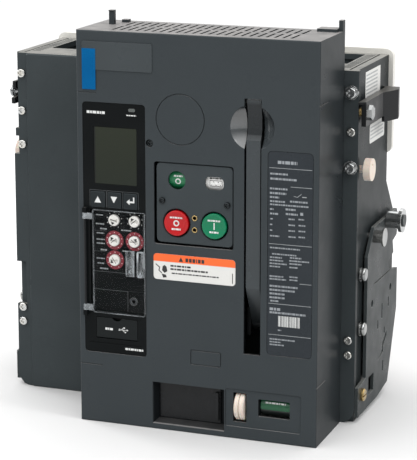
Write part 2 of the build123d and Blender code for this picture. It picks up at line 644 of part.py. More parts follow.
def side_plate():
    outline = [(72, 5), (134, 5), (167, 9), (181, 41), (194, 71), (194, 107.5), (168, 111.5), (159, 120),
               (180, 125), (177, 136), (190, 139), (195, 152), (189, 163), (115, 162), (96, 140), (96, 33),
               (72, 31)]
    plate = side_slab(outline, PLATE_IN, PLATE_OUT)
    plate -= block(PLATE_IN - 1, PLATE_OUT + 1, 118, 170, 110.6, 112)
    plate -= block(PLATE_IN - 1, PLATE_OUT + 1, 104, 121, 15, 31)
    for y, z, w, h in ((166, 83, 3, 9), (145, 80, 3, 14), (132, 71, 3, 8), (154, 60, 3, 6), (151, 28, 3, 10)):
        plate -= block(PLATE_IN - 1, PLATE_OUT + 1, y - w / 2, y + w / 2, z - h / 2, z + h / 2)
    bolt_slot = [(134, 37), (148, 44), (148, 50), (162, 58), (162, 53), (151, 46), (151, 41)]
    plate -= side_slab(bolt_slot, PLATE_IN - 1, PLATE_OUT + 1)
    for y in (112, 172):
        plate -= rod_x(PLATE_IN - 1, PLATE_OUT + 1, y, 95, 3.3)
    for y, z in ((STUD_Y, STUD_Z), (EARTH_Y, EARTH_Z)):
        plate -= rod_x(PLATE_IN - 1, PLATE_OUT + 1, y, z, 3.05)
    return plate + roller_pin()


def roller_pin():
    pin = rod_x(PLATE_OUT - 1, ROLLER_END - 1, ROLLER_Y, ROLLER_Z, 4)
    return pin + rod_x(ROLLER_END - 1, ROLLER_END, ROLLER_Y, ROLLER_Z, 5.4)


def roller():
    """Flanged steel roller that runs on a cradle rail."""
    body = rod_x(PLATE_OUT + 0.4, ROLLER_END - 1.2, ROLLER_Y, ROLLER_Z, 7.5)
    body += rod_x(ROLLER_END - 4.2, ROLLER_END - 1.2, ROLLER_Y, ROLLER_Z, 10.5)
    return body - rod_x(PLATE_OUT, ROLLER_END, ROLLER_Y, ROLLER_Z, 4 + RUN)


def guide_disc(y, z):
    """Eccentric nylon disc on its own stub."""
    disc = rod_x(PLATE_OUT + 0.5, PLATE_OUT + 6.5, y, z, GUIDE_R)
    disc -= rod_x(PLATE_OUT + 5.5, PLATE_OUT + 7, y, z + 4, 1.2)
    return disc + rod_x(CASE_HALF - 8, PLATE_OUT + 1, y, z, 3)


def side_bracket_right():
    """Bent cover bracket with a wedge-shaped box at its rear end, fixed to the case there."""
    out, top = BRACKET_OUT, BRACKET_TOP
    rim = [(158, 65), (out, 68), (out, 120), (172, 141), (169.5, 154), (CASE_HALF, 154), (CASE_HALF, 152),
           (158, 150)]
    wall = [(out - 2, 68), (out, 68), (out, 120), (172, 141), (169.5, 154), (CASE_HALF, 154),
            (CASE_HALF, 152), (167.8, 152), (169.9, 141.2), (out - 2, 120.4)]
    bracket = Pos(0, 0, top - 2) * extrude(make_face(Polyline(*rim, close=True)), 2)
    bracket += Pos(0, 0, 252.5) * extrude(make_face(Polyline(*wall, close=True)), top - 253.5)
    bracket -= block(out - 4, out + 1, 60, 122, 250, 257.5)
    bracket += block(out - 4, out, 68, 70, 257.5, top - 1)
    return bracket - rod_x(out - 3, out + 1, *BRACKET_BOLT, 3.05)


def side_bracket_left():
    outline = [(75, 276.5), (112, 276.5), (112, 240), (92, 240), (90, 257), (72.5, 257), (72.5, 262),
               (84, 264), (75, 271)]
    angle = side_slab(outline, -LEFT_OUT, -HALF)
    return angle - rod_x(-LEFT_OUT - 1, -HALF + 1, *LEFT_BOLT, 3.05)


def round_head(x, y, z, r):
    """Neck and domed head of a stud, outwards from x."""
    dome = rod_x(x + 1.2, x + 4.2, y, z, r)
    return fillet(dome.edges().group_by(Axis.X)[-1], 1.9) + rod_x(x, x + 1.5, y, z, r - 1.4)


def side_studs():
    """Round-headed studs and the washered buffer studs at both sides."""
    studs = []
    for side in (-1, 1):
        for y, z in PAN_STUDS:
            stud = rod_x(145.5, CASE_HALF + 3, y, z, 3) + rod_x(CASE_HALF + 0.2, CASE_HALF + 2, y, z, 6.2)
            studs.append(stud + round_head(CASE_HALF + 2, y, z, 5.8))
        buffer = rod_x(145.5, PLATE_OUT + 9, STUD_Y, STUD_Z, 3)
        buffer += rod_x(PLATE_OUT, PLATE_OUT + 8, STUD_Y, STUD_Z, 5.5)
        buffer += rod_x(PLATE_OUT + 8, PLATE_OUT + 9.5, STUD_Y, STUD_Z, 8)
        studs.append(buffer)
        if side < 0:
            studs = [mirrored(stud) for stud in studs]
    bolt = rod_x(CASE_HALF - 8, LEFT_OUT + 1, *LEFT_BOLT, 3) + round_head(LEFT_OUT, *LEFT_BOLT, 5.2)
    studs.append(mirrored(bolt))
    hex_head = Pos(BRACKET_OUT, *BRACKET_BOLT) * Rot(0, 90, 0) * extrude(RegularPolygon(6.4, 6), 4.5)
    hex_head = chamfer(hex_head.edges().group_by(Axis.X)[-1], 0.6)
    studs.append(hex_head)
    return joined(studs)


def brass_studs():
    """Stand-off stud of the right bracket and the earthing screw below it."""
    stand_off = rod_x(HALF, BRACKET_OUT - 2, *BRACKET_BOLT, 3.8) + rod_x(
        BRACKET_OUT - 3, BRACKET_OUT, *BRACKET_BOLT, 3)
    earth = rod_x(145.5, PLATE_OUT + 1, EARTH_Y, EARTH_Z, 3)
    dome = Pos(PLATE_OUT, EARTH_Y, EARTH_Z) * Rot(0, 90, 0) * Cylinder(5.5, 3, align=ON_BASE)
    dome = chamfer(dome.edges().group_by(Axis.X)[-1], 1)
    dome -= block(PLATE_OUT + 1.8, PLATE_OUT + 4, EARTH_Y - 6, EARTH_Y + 6, EARTH_Z - 0.7, EARTH_Z + 0.7)
    return joined([stand_off, earth + dome])


def cross_screw(x, y0, y1, z, head_r, shank_r):
    """Screw along y with a cross recess; the head's face is at y0."""
    screw = rod_y(x, y0, y0 + 2.4, z, head_r)
    screw = fillet(screw.edges().group_by(Axis.Y)[0], 0.9)
    screw += rod_y(x, y0 + 2.3, y1, z, shank_r)
    width, length = head_r * 0.22, head_r * 0.62
    screw -= block(x - length, x + length, y0 - 1, y0 + 1.3, z - width, z + width)
    return screw - block(x - width, x + width, y0 - 1, y0 + 1.3, z - length, z + length)


def panel_screws():
    screws = []
    for side in (-1, 1):
        for z in SCREW_ROWS:
            if side > 0 and z in BIG_SCREW_ROWS:
                continue
            screws.append(cross_screw(screw_x(side, z), STRIP_Y - 2.4, SCREW_END, z, 3.7, 2))
    for x in PLATE_SCREWS:
        screws.append(cross_screw(cx(x), -1.4, 7, PLATE_SCREW_Z, 2.6, 1.55))
    screws.append(cross_screw(cx(BOSS_X), 1.1, CASE_FRONT + 5, BOSS_Z, 3.0, 1.7))
    return joined(screws)


def collar_bolts():
    bolts = []
    for z in BIG_SCREW_ROWS:
        bolt = rod_y(SCREW_X, STRIP_Y - 1.5, STRIP_Y, z, 6.0)
        bolt += cross_screw(SCREW_X, STRIP_Y - 5.5, SCREW_END, z, 4.6, 2)
        bolt += rod_y(SCREW_X, STRIP_Y - 3.5, STRIP_Y - 1, z, 4.6)
        bolts.append(bolt)
    return joined(bolts)


def rear_shield():
    """Pale insulating plate behind the case, with a slot round each upper blade."""
    plate = tile(-159, 159, CASE_BACK_HIGH, CASE_BACK_HIGH + 6, 216, 308, 7)
    plate += tile(-154, 154, CASE_BACK_HIGH, CASE_BACK_HIGH + 10, 294, 306, 4)
    for x in POLE_X:
        plate -= tile(x - 22, x + 22, CASE_BACK_HIGH - 1, CASE_BACK_HIGH + 12, 217.5, 232.5, 3)
    for x in (-POLE_PITCH, 0, POLE_PITCH):
        plate += block(x - 1.5, x + 1.5, CASE_BACK_HIGH + 5, CASE_BACK_HIGH + 40, 218, 290)
    return plate


SUB_PARTS = {
    "front_cover": front_cover,
    "badge_plate": badge_plate,
    "nameplate": nameplate,
    "control_label": control_label,
    "control_plate": control_plate,
    "trip_unit_housing": trip_unit_housing,
    "trip_unit_board": trip_unit_board,
    "display_window": display_window,
    "status_led": status_led,
    "settings_cover": settings_cover,
    "settings_cover_pin": settings_cover_pin,
    "test_socket": test_socket,
    "aux_port_cover": aux_port_cover,
    "open_button": lambda: push_button(OPEN_X),
    "close_button": lambda: push_button(CLOSE_X),
    "charging_handle": charging_handle,
    "handle_pin": handle_pin,
    "contact_indicator": lambda: indicator_drum(80.6, 96.0, 15, 215.6, 11, FRAME_L, 102.2 + 2.4),
    "spring_indicator": lambda: indicator_drum(111.4, 130.6, 15, 215.6, 11, 105.0, FRAME_R + 3),
    "position_indicator": lambda: indicator_drum(161, 187, FLAG_Y, FLAG_Z, FLAG_R, 157.6, 191.4),
    "selector_wheel": selector_wheel,
    "racking_shutter": racking_shutter,
    "racking_shaft": racking_shaft,
    "front_panel": front_panel,
    "pole_casing": pole_casing,
    "arc_chutes": arc_chutes,
    "upper_terminals": upper_terminals,
    "lower_terminals": lower_terminals,
    "current_sensors": current_sensors,
    "pole_shaft": pole_shaft,
    "mechanism_frame": mechanism_frame,
    "charging_shaft": charging_shaft,
    "closing_springs": closing_springs,
    "charging_motor": charging_motor,
    "release_coils": release_coils,
    "side_plate_right": side_plate,
    "side_plate_left": lambda: mirrored(side_plate()),
    "roller_right": roller,
    "roller_left": lambda: mirrored(roller()),
    "guide_disc_right": lambda: guide_disc(*GUIDE_RIGHT),
    "guide_disc_left": lambda: mirrored(guide_disc(*GUIDE_LEFT)),
    "side_bracket_right": side_bracket_right,
    "side_bracket_left": side_bracket_left,
    "side_studs": side_studs,
    "brass_studs": brass_studs,
    "panel_screws": panel_screws,
    "collar_bolts": collar_bolts,
    "rear_shield": rear_shield,
}
for key_name in KEYS:
    SUB_PARTS[key_name] = lambda name=key_name: key(name)
for number, (dial_x, dial_z) in enumerate(DIALS, start=1):
    SUB_PARTS[f"dial_{number}"] = lambda x=dial_x, z=dial_z: dial(x, z)
for number, pole_x in enumerate(POLE_X, start=1):
    SUB_PARTS[f"moving_contact_{number}"] = lambda x=pole_x: moving_contact(x)

os.makedirs("parts", exist_ok=True)
for node, make in SUB_PARTS.items():
    export_step(Pos(0, -MID_DEPTH, 0) * make(), f"parts/{node}.step")
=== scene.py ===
import json
import math

import bmesh
import bpy
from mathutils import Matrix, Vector


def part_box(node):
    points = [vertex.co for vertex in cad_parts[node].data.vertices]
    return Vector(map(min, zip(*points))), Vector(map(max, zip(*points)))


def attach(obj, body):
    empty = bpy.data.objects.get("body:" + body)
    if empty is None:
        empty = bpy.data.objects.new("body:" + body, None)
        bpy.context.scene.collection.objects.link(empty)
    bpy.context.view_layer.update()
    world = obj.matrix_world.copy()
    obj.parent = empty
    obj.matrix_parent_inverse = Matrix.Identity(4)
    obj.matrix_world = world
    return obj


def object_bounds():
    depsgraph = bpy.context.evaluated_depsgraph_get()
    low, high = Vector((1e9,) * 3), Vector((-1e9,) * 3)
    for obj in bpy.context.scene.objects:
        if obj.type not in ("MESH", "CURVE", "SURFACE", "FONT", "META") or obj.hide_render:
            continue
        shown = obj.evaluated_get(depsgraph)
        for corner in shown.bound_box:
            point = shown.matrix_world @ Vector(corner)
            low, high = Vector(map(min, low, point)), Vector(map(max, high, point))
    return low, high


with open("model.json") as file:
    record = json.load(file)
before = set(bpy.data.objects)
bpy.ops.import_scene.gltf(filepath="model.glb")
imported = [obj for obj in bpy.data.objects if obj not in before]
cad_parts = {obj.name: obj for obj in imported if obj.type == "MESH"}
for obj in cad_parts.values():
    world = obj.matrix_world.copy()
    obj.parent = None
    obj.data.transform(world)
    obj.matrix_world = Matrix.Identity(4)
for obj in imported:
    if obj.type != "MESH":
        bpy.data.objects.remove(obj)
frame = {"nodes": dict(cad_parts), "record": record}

cad_low, cad_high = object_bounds()
NODES = frame["nodes"]
MM = 0.001
COVER_LOW, COVER_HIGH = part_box("front_cover")
CASE_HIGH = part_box("pole_casing")[1]
ROOT = "breaker"


def at(v, y, z):
    """Metres from millimetres: v from the cover's left edge, y back from its face, z from the base."""
    return (COVER_LOW.x + v * MM, COVER_LOW.y + y * MM, z * MM)


def front_of(node):
    """How far a node's front face lies behind the cover's face, in millimetres."""
    return (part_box(node)[0].y - COVER_LOW.y) / MM


# Node trees


class Tree:
    """A material's node tree with a Principled shader and the few node patterns used here."""

    def __init__(self, name):
        self.material = bpy.data.materials.new(name)
        self.material.use_nodes = True
        self.nodes = self.material.node_tree.nodes
        self.links = self.material.node_tree.links
        self.nodes.clear()
        out = self.nodes.new("ShaderNodeOutputMaterial")
        self.shader = self.nodes.new("ShaderNodeBsdfPrincipled")
        self.links.new(self.shader.outputs[0], out.inputs[0])
        self.coords = self.nodes.new("ShaderNodeTexCoord").outputs["Object"]
        self.geometry = self.nodes.new("ShaderNodeNewGeometry")

    def plug(self, value, socket):
        if isinstance(value, bpy.types.NodeSocket):
            self.links.new(value, socket)
        elif hasattr(value, "__len__") and socket.type == "RGBA" and len(value) == 3:
            socket.default_value = (*value, 1)
        else:
            socket.default_value = value

    def stretched(self, scale):
        node = self.nodes.new("ShaderNodeMapping")
        self.links.new(self.coords, node.inputs["Vector"])
        node.inputs["Scale"].default_value = scale
        return node.outputs[0]

    def noise(self, scale, detail=2.0, stretch=None, distortion=0.0):
        node = self.nodes.new("ShaderNodeTexNoise")
        self.links.new(self.stretched(stretch) if stretch else self.coords, node.inputs["Vector"])
        node.inputs["Scale"].default_value = scale
        node.inputs["Detail"].default_value = detail
        node.inputs["Distortion"].default_value = distortion
        return node.outputs["Fac"]

    def math(self, operation, a, b=0.0, clamp=False):
        node = self.nodes.new("ShaderNodeMath")
        node.operation = operation
        node.use_clamp = clamp
        self.plug(a, node.inputs[0])
        self.plug(b, node.inputs[1])
        return node.outputs[0]

    def span(self, value, low, high, to_low=0.0, to_high=1.0):
        node = self.nodes.new("ShaderNodeMapRange")
        self.links.new(value, node.inputs["Value"])
        for key, number in (("From Min", low), ("From Max", high), ("To Min", to_low), ("To Max", to_high)):
            node.inputs[key].default_value = number
        return node.outputs[0]

    def mix(self, factor, a, b):
        node = self.nodes.new("ShaderNodeMix")
        node.data_type = "RGBA"
        self.plug(factor, node.inputs[0])
        self.plug(a, node.inputs[6])
        self.plug(b, node.inputs[7])
        return node.outputs[2]

    def axis(self, source, name):
        node = self.nodes.new("ShaderNodeSeparateXYZ")
        self.links.new(source, node.inputs[0])
        return node.outputs[name]

    def within(self, name, low, high):
        """1 where the object coordinate lies between two values in metres, else 0."""
        value = self.axis(self.coords, name)
        above_low = self.math("GREATER_THAN", value, low)
        return self.math("MULTIPLY", above_low, self.math("LESS_THAN", value, high))

    def border(self, low, high, width):
        """1 inside an upright rectangle of the x-z plane, within width of its outline."""
        gaps = []
        for name, a, b in (("X", low[0], high[0]), ("Z", low[1], high[1])):
            offset = self.math("SUBTRACT", self.axis(self.coords, name), (a + b) / 2)
            gaps.append(self.math("SUBTRACT", self.math("ABSOLUTE", offset), (b - a) / 2))
        gap = self.math("MAXIMUM", gaps[0], gaps[1])
        not_deep = self.math("GREATER_THAN", gap, -width)
        return self.math("MULTIPLY", not_deep, self.math("LESS_THAN", gap, 0.1 * MM))

    def shaded_sides(self, paint, amount):
        """Painted shade: a darker tone on the faces that look left or right."""
        sideways = self.math("ABSOLUTE", self.axis(self.geometry.outputs["Normal"], "X"))
        return self.mix(self.span(sideways, 0.7, 0.98, 0.0, amount), paint, (0.0, 0.0, 0.0))

    def soft_normal(self, radius):
        node = self.nodes.new("ShaderNodeBevel")
        node.samples = 4
        node.inputs["Radius"].default_value = radius
        return node.outputs[0]

    def edges(self, soft, low=0.012, high=0.16):
        """1 on sharp edges and 0 on open faces."""
        node = self.nodes.new("ShaderNodeVectorMath")
        node.operation = "DOT_PRODUCT"
        self.links.new(soft, node.inputs[0])
        self.links.new(self.geometry.outputs["Normal"], node.inputs[1])
        return self.span(self.math("SUBTRACT", 1.0, node.outputs["Value"]), low, high)

    def bump(self, height, strength, distance, normal=None):
        node = self.nodes.new("ShaderNodeBump")
        node.inputs["Strength"].default_value = strength
        node.inputs["Distance"].default_value = distance
        self.links.new(height, node.inputs["Height"])
        if normal is not None:
            self.links.new(normal, node.inputs["Normal"])
        return node.outputs[0]

    def set(self, **sockets):
        for name, value in sockets.items():
            self.plug(value, self.shader.inputs[name.replace("_", " ")])
        return self.material


def surface(name, colour, rough, tint=None, vary=0.5, grain=1100.0, relief=0.25, depth=0.00012,
            edge=0.3, edge_colour=None, radius=0.0005, dust_and_top_highlight=0.0, stretch=None, cloud=18.0, sides=0.0,
            **sockets):
    """Base recipe: cloudy colour, fine grain, lighter edges that are partly wear and partly painted
    highlight, softened corners, dust with a painted highlight on top faces, and painted shade on the sideways
    faces.
    """
    tree = Tree(name)
    soft = tree.soft_normal(radius)
    tint = tint or tuple(min(1.0, c * 1.22 + 0.004) for c in colour)
    paint = tree.mix(tree.span(tree.noise(cloud, 4.0), 0.35, 0.68, 0.0, vary), colour, tint)
    fine = tree.noise(grain, 3.0, stretch)
    paint = tree.mix(tree.span(fine, 0.3, 0.7, 0.0, 0.16), paint, tuple(c * 0.55 for c in colour))
    # Lighter edges: partly wear, partly painted highlight.
    if edge:
        wear_and_edge_highlight = tree.math("MULTIPLY", tree.edges(soft), tree.span(tree.noise(160.0, 3.0), 0.3, 0.7, 0.35, 1.0))
        lighter = edge_colour or tuple(min(1.0, c * 1.7 + 0.035) for c in colour)
        paint = tree.mix(tree.math("MULTIPLY", wear_and_edge_highlight, edge), paint, lighter)
    # Lighter, beige top faces: partly dust, partly painted highlight from above.
    if dust_and_top_highlight:
        up = tree.span(tree.axis(tree.geometry.outputs["Normal"], "Z"), 0.75, 1.0)
        settled_dust_and_highlight = tree.math("MULTIPLY", up, tree.span(tree.noise(70.0, 4.0), 0.25, 0.75, 0.45, 1.0))
        paint = tree.mix(tree.math("MULTIPLY", settled_dust_and_highlight, dust_and_top_highlight), paint, (0.42, 0.40, 0.36))
    # Painted shade on the faces that look left or right.
    if sides:
        paint = tree.shaded_sides(paint, sides)
    shine = tree.span(tree.noise(cloud * 3.0, 4.0), 0.3, 0.7, rough[0], rough[1])
    normal = tree.bump(fine, relief, depth, soft)
    return tree.set(Base_Color=paint, Roughness=shine, Normal=normal, **sockets)


def metal(name, colour, rough, tint, stretch, grain=700.0, relief=0.12, edge=0.4, **sockets):
    """Plated or bare metal: drawn or turned grain, uneven tarnish and lighter edges, partly wear and partly
    painted highlight.
    """
    return surface(name, colour, rough, tint=tint, vary=0.8, grain=grain, relief=relief, depth=0.00005,
                   edge=edge, edge_colour=tuple(min(1.0, c * 1.25) for c in colour), radius=0.0004,
                   stretch=stretch, cloud=45.0, Metallic=1.0, **sockets)


def sector_paint(name, node, front, top, rough, shade_below=None):
    """Indicator drum: one colour on the sector that faces out at rest, another on the one that follows, and
    optionally painted shade below a given angle.
    """
    tree = Tree(name)
    low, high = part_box(node)
    middle = (low + high) / 2
    up = tree.math("SUBTRACT", tree.axis(tree.coords, "Z"), middle.z)
    out = tree.math("SUBTRACT", middle.y, tree.axis(tree.coords, "Y"))
    angle = tree.math("ARCTAN2", up, out)
    turned = tree.math("GREATER_THAN", angle, math.radians(45))
    speck = tree.noise(900.0, 3.0)
    paint = tree.mix(turned, front, top)
    # Painted shade: near-black on the drum below the given angle, where the window recess shades it.
    if shade_below:
        paint = tree.mix(tree.math("LESS_THAN", angle, math.radians(shade_below)), paint, (0.010, 0.012, 0.012))
    paint = tree.mix(tree.span(speck, 0.3, 0.7, 0.0, 0.22), paint, (0.02, 0.03, 0.025))
    shine = tree.span(tree.noise(60.0, 3.0), 0.3, 0.7, rough[0], rough[1])
    return tree.set(Base_Color=paint, Roughness=shine, Normal=tree.bump(speck, 0.15, 0.00008))


LCD_CELL = 0.0006


def lcd(name):
    """Unlit reflective display: olive glass with a faint cell grid and a darker border."""
    tree = Tree(name)
    low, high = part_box("display_window")
    cells = tree.nodes.new("ShaderNodeTexBrick")
    mapping = tree.nodes.new("ShaderNodeMapping")
    mapping.inputs["Rotation"].default_value = (math.radians(90), 0, 0)
    tree.links.new(tree.coords, mapping.inputs["Vector"])
    tree.links.new(mapping.outputs[0], cells.inputs["Vector"])
    cells.offset = 0.0
    for key, value in (("Scale", 1.0), ("Mortar Size", 0.00006), ("Brick Width", LCD_CELL),
                       ("Row Height", LCD_CELL)):
        cells.inputs[key].default_value = value
    cells.inputs["Color1"].default_value = (0.017, 0.021, 0.014, 1)
    cells.inputs["Color2"].default_value = (0.016, 0.020, 0.014, 1)
    cells.inputs["Mortar"].default_value = (0.012, 0.016, 0.012, 1)
    height = tree.span(tree.axis(tree.coords, "Z"), low.z, high.z)
    paint = tree.mix(tree.math("MULTIPLY", height, 0.6), cells.outputs["Color"], (0.022, 0.026, 0.016))
    across = tree.axis(tree.coords, "X")
    border = tree.math("LESS_THAN", tree.math("SUBTRACT", across, low.x), 0.0012)
    paint = tree.mix(border, paint, (0.012, 0.014, 0.012))
    shine = tree.span(tree.noise(90.0, 3.0), 0.3, 0.7, 0.10, 0.2)
    return tree.set(Base_Color=paint, Roughness=shine, Specular_IOR_Level=0.15,
                    Normal=tree.bump(tree.noise(400.0, 2.0), 0.05, 0.00005))


LID_EDGE = 0.0007
LID_LEFT, ARM_END = COVER_LOW.x + 13.5 * MM, COVER_LOW.x + 13.4 * MM
CATCHES = ((43.6, 51.0), (53.9, 60.2))
CATCH_BOTTOM, CATCH_TOP = 131 * MM, 153 * MM


def clear(name):
    """Clear polycarbonate: nearly invisible face on, with painted highlights along its rims, catches and
    hinge arms.
    """
    tree = Tree(name)
    low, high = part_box("settings_cover")
    rims = tree.border((LID_LEFT, low.z), (high.x, high.z), LID_EDGE)
    rims = tree.math("MULTIPLY", rims, 0.55)
    highlight_streaks = tree.span(tree.noise(260.0, 3.0, (1.0, 1.0, 0.16), 0.6), 0.42, 0.6)
    for u0, u1 in CATCHES:
        left, right = COVER_LOW.x + u0 * MM, COVER_LOW.x + u1 * MM
        ridge = tree.border((left, CATCH_BOTTOM), (right, CATCH_TOP), LID_EDGE)
        body = tree.math("MULTIPLY", tree.within("X", left, right),
                         tree.within("Z", CATCH_BOTTOM, CATCH_TOP))
        ridge = tree.math("MAXIMUM", tree.math("MULTIPLY", ridge, 0.75), tree.math("MULTIPLY", body, highlight_streaks))
        rims = tree.math("MAXIMUM", rims, ridge)
    arms = tree.math("LESS_THAN", tree.axis(tree.coords, "X"), ARM_END)
    scuffs = tree.noise(55.0, 5.0, (1.0, 1.0, 6.0), 0.8)
    uneven = tree.span(tree.noise(60.0, 3.0), 0.35, 0.65, 0.45, 1.0)
    lit = tree.math("MULTIPLY", tree.math("MAXIMUM", rims, tree.math("MULTIPLY", arms, 0.7)), uneven)
    layer = tree.nodes.new("ShaderNodeLayerWeight")
    layer.inputs["Blend"].default_value = 0.3
    seen = tree.span(layer.outputs["Facing"], 0.2, 1.0, 0.03, 0.3)
    # Painted highlight: pale colour and extra opacity on the rims, catches and hinge arms.
    cover = tree.math("ADD", seen, tree.math("MULTIPLY", lit, 0.6), clamp=True)
    paint = tree.mix(lit, (0.020, 0.024, 0.026), (0.62, 0.67, 0.70))
    return tree.set(Base_Color=paint, Alpha=cover, Roughness=tree.span(scuffs, 0.3, 0.7, 0.16, 0.26))


def screw_metal(name, front_limit):
    """Zinc screws, with the ones ahead of front_limit (metres along y) made near-black."""
    tree = Tree(name)
    soft = tree.soft_normal(0.0004)
    paint = tree.mix(tree.span(tree.noise(220.0, 4.0), 0.35, 0.68), (0.55, 0.56, 0.56), (0.64, 0.62, 0.57))
    # Lighter edges: partly wear, partly painted highlight.
    paint = tree.mix(tree.math("MULTIPLY", tree.edges(soft), 0.5), paint, (0.72, 0.72, 0.70))
    ahead = tree.math("LESS_THAN", tree.axis(tree.coords, "Y"), front_limit)
    paint = tree.mix(ahead, paint, (0.030, 0.034, 0.036))
    fine = tree.noise(900.0, 3.0)
    shine = tree.span(tree.noise(150.0, 3.0), 0.3, 0.7, 0.16, 0.3)
    return tree.set(Base_Color=paint, Metallic=1.0, Roughness=shine,
                    Normal=tree.bump(fine, 0.12, 0.00005, soft))


DISH, DISH_RADIUS = (153.7, 0.0, 263.6), 19.3
SLOT_LEFT, SLOT_RIGHT = COVER_LOW.x + 146.5 * MM, COVER_LOW.x + 162 * MM
SLOT_BOTTOM, SLOT_TOP = 73.5 * MM, 287.5 * MM
RIM, OPENINGS_BOTTOM, OPENINGS_TOP = 5 * MM, 4 * MM, 325 * MM
OPENINGS_FRONT, OPENINGS_BACK = COVER_LOW.y + 1.6 * MM, COVER_LOW.y + 60 * MM


def case_moulding(name, colour):
    """Cover plastic: satin; lighter edges, partly wear and partly painted highlight; dust with a painted
    highlight on top; painted shade on the sideways faces, in its openings and over the top of the finger
    dish; polished inside the finger dish.
    """
    tree = Tree(name)
    soft = tree.soft_normal(0.0006)
    cloudy = tree.span(tree.noise(18.0, 4.0), 0.35, 0.68, 0.0, 0.4)
    paint = tree.mix(cloudy, colour, tuple(c * 1.14 for c in colour))
    fine = tree.noise(1100.0, 3.0)
    paint = tree.mix(tree.span(fine, 0.3, 0.7, 0.0, 0.14), paint, tuple(c * 0.6 for c in colour))
    # Lighter edges: partly wear, partly painted highlight.
    wear_and_edge_highlight = tree.math("MULTIPLY", tree.edges(soft), tree.span(tree.noise(160.0, 3.0), 0.3, 0.7, 0.3, 1.0))
    paint = tree.mix(tree.math("MULTIPLY", wear_and_edge_highlight, 0.3), paint, (0.14, 0.15, 0.155))
    # Lighter top faces: partly dust, partly painted highlight from above.
    up = tree.span(tree.axis(tree.geometry.outputs["Normal"], "Z"), 0.75, 1.0)
    settled_dust_and_highlight = tree.math("MULTIPLY", up, tree.span(tree.noise(70.0, 4.0), 0.25, 0.75, 0.45, 1.0))
    paint = tree.mix(tree.math("MULTIPLY", settled_dust_and_highlight, 0.55), paint, (0.42, 0.395, 0.38))
    centre = at(*DISH)
    across = tree.math("SUBTRACT", tree.axis(tree.coords, "X"), centre[0])
    above = tree.math("SUBTRACT", tree.axis(tree.coords, "Z"), centre[2])
    squares = [tree.math("MULTIPLY", part, part) for part in (across, above)]
    away = tree.math("SQRT", tree.math("ADD", squares[0], squares[1]))
    near = tree.math("LESS_THAN", away, DISH_RADIUS * MM)
    behind = tree.math("GREATER_THAN", tree.axis(tree.coords, "Y"), COVER_LOW.y + 0.3 * MM)
    dish = tree.math("MULTIPLY", near, behind)
    rough = tree.span(tree.noise(54.0, 4.0), 0.3, 0.7, 0.27, 0.33)
    shine = tree.math("MULTIPLY", rough, tree.span(dish, 0.0, 1.0, 1.0, 0.42))
    gloss = tree.span(dish, 0.0, 1.0, 0.05, 1.4)
    # Painted shade on the faces that look left or right.
    paint = tree.shaded_sides(paint, 0.5)
    # Painted shade: near-black inside the openings and the handle slot, and over the top of the finger dish.
    painted_recess_shade = tree.math("MULTIPLY", tree.within("X", COVER_LOW.x + RIM, COVER_HIGH.x - RIM),
                         tree.within("Z", OPENINGS_BOTTOM, OPENINGS_TOP))
    painted_recess_shade = tree.math("MULTIPLY", painted_recess_shade, tree.within("Y", OPENINGS_FRONT, OPENINGS_BACK))
    slot = tree.math("MULTIPLY", tree.within("X", SLOT_LEFT, SLOT_RIGHT),
                     tree.within("Z", SLOT_BOTTOM, SLOT_TOP))
    painted_recess_shade = tree.math("MAXIMUM", painted_recess_shade, tree.math("MULTIPLY", slot, behind))
    outside_dish = tree.math("SUBTRACT", 1.0, tree.math("MULTIPLY", dish, tree.math("SUBTRACT", 1.0, slot)))
    painted_recess_shade = tree.math("MULTIPLY", painted_recess_shade, outside_dish)
    painted_dish_top_shade = tree.math("MULTIPLY", dish, tree.span(above, -2 * MM, 8 * MM, 0.0, 0.75))
    painted_recess_shade = tree.math("MAXIMUM", painted_recess_shade, painted_dish_top_shade)
    paint = tree.mix(tree.math("MULTIPLY", painted_recess_shade, 0.85), paint, (0.006, 0.007, 0.008))
    return tree.set(Base_Color=paint, Roughness=shine, Specular_IOR_Level=gloss,
                    Normal=tree.bump(fine, 0.22, 0.0001, soft))


def handle_moulding(name, colour):
    """Handle plastic: painted shade in the finger grip, towards the pivot and on the sideways faces; lighter
    edges, partly wear and partly painted highlight.
    """
    tree = Tree(name)
    soft = tree.soft_normal(0.0008)
    cloudy = tree.span(tree.noise(18.0, 4.0), 0.35, 0.68, 0.0, 0.5)
    paint = tree.mix(cloudy, colour, tuple(c * 1.22 for c in colour))
    fine = tree.noise(1100.0, 3.0)
    paint = tree.mix(tree.span(fine, 0.3, 0.7, 0.0, 0.16), paint, tuple(c * 0.55 for c in colour))
    height = tree.axis(tree.coords, "Z")
    # Painted shade in the finger grip, inside the cover's finger dish.
    painted_grip_shade = tree.math("MULTIPLY", tree.span(height, 0.252, 0.258), tree.span(height, 0.285, 0.282))
    paint = tree.mix(tree.math("MULTIPLY", painted_grip_shade, 0.7), paint, (0.006, 0.007, 0.008))
    # Lighter edges: partly wear, partly painted highlight.
    wear_and_edge_highlight = tree.math("MULTIPLY", tree.edges(soft), tree.span(tree.noise(160.0, 3.0), 0.3, 0.7, 0.35, 1.0))
    paint = tree.mix(tree.math("MULTIPLY", wear_and_edge_highlight, 0.45), paint, (0.11, 0.12, 0.125))
    # Painted shade on the faces that look left or right.
    paint = tree.shaded_sides(paint, 0.7)
    # Painted shade: near-black towards the pivot.
    paint = tree.mix(tree.span(height, 0.128, 0.092, 0.0, 0.92), paint, (0.004, 0.0045, 0.005))
    return tree.set(Base_Color=paint, Roughness=tree.span(tree.noise(54.0, 4.0), 0.3, 0.7, 0.2, 0.32),
                    Specular_IOR_Level=0.25, Normal=tree.bump(fine, 0.25, 0.00012, soft))


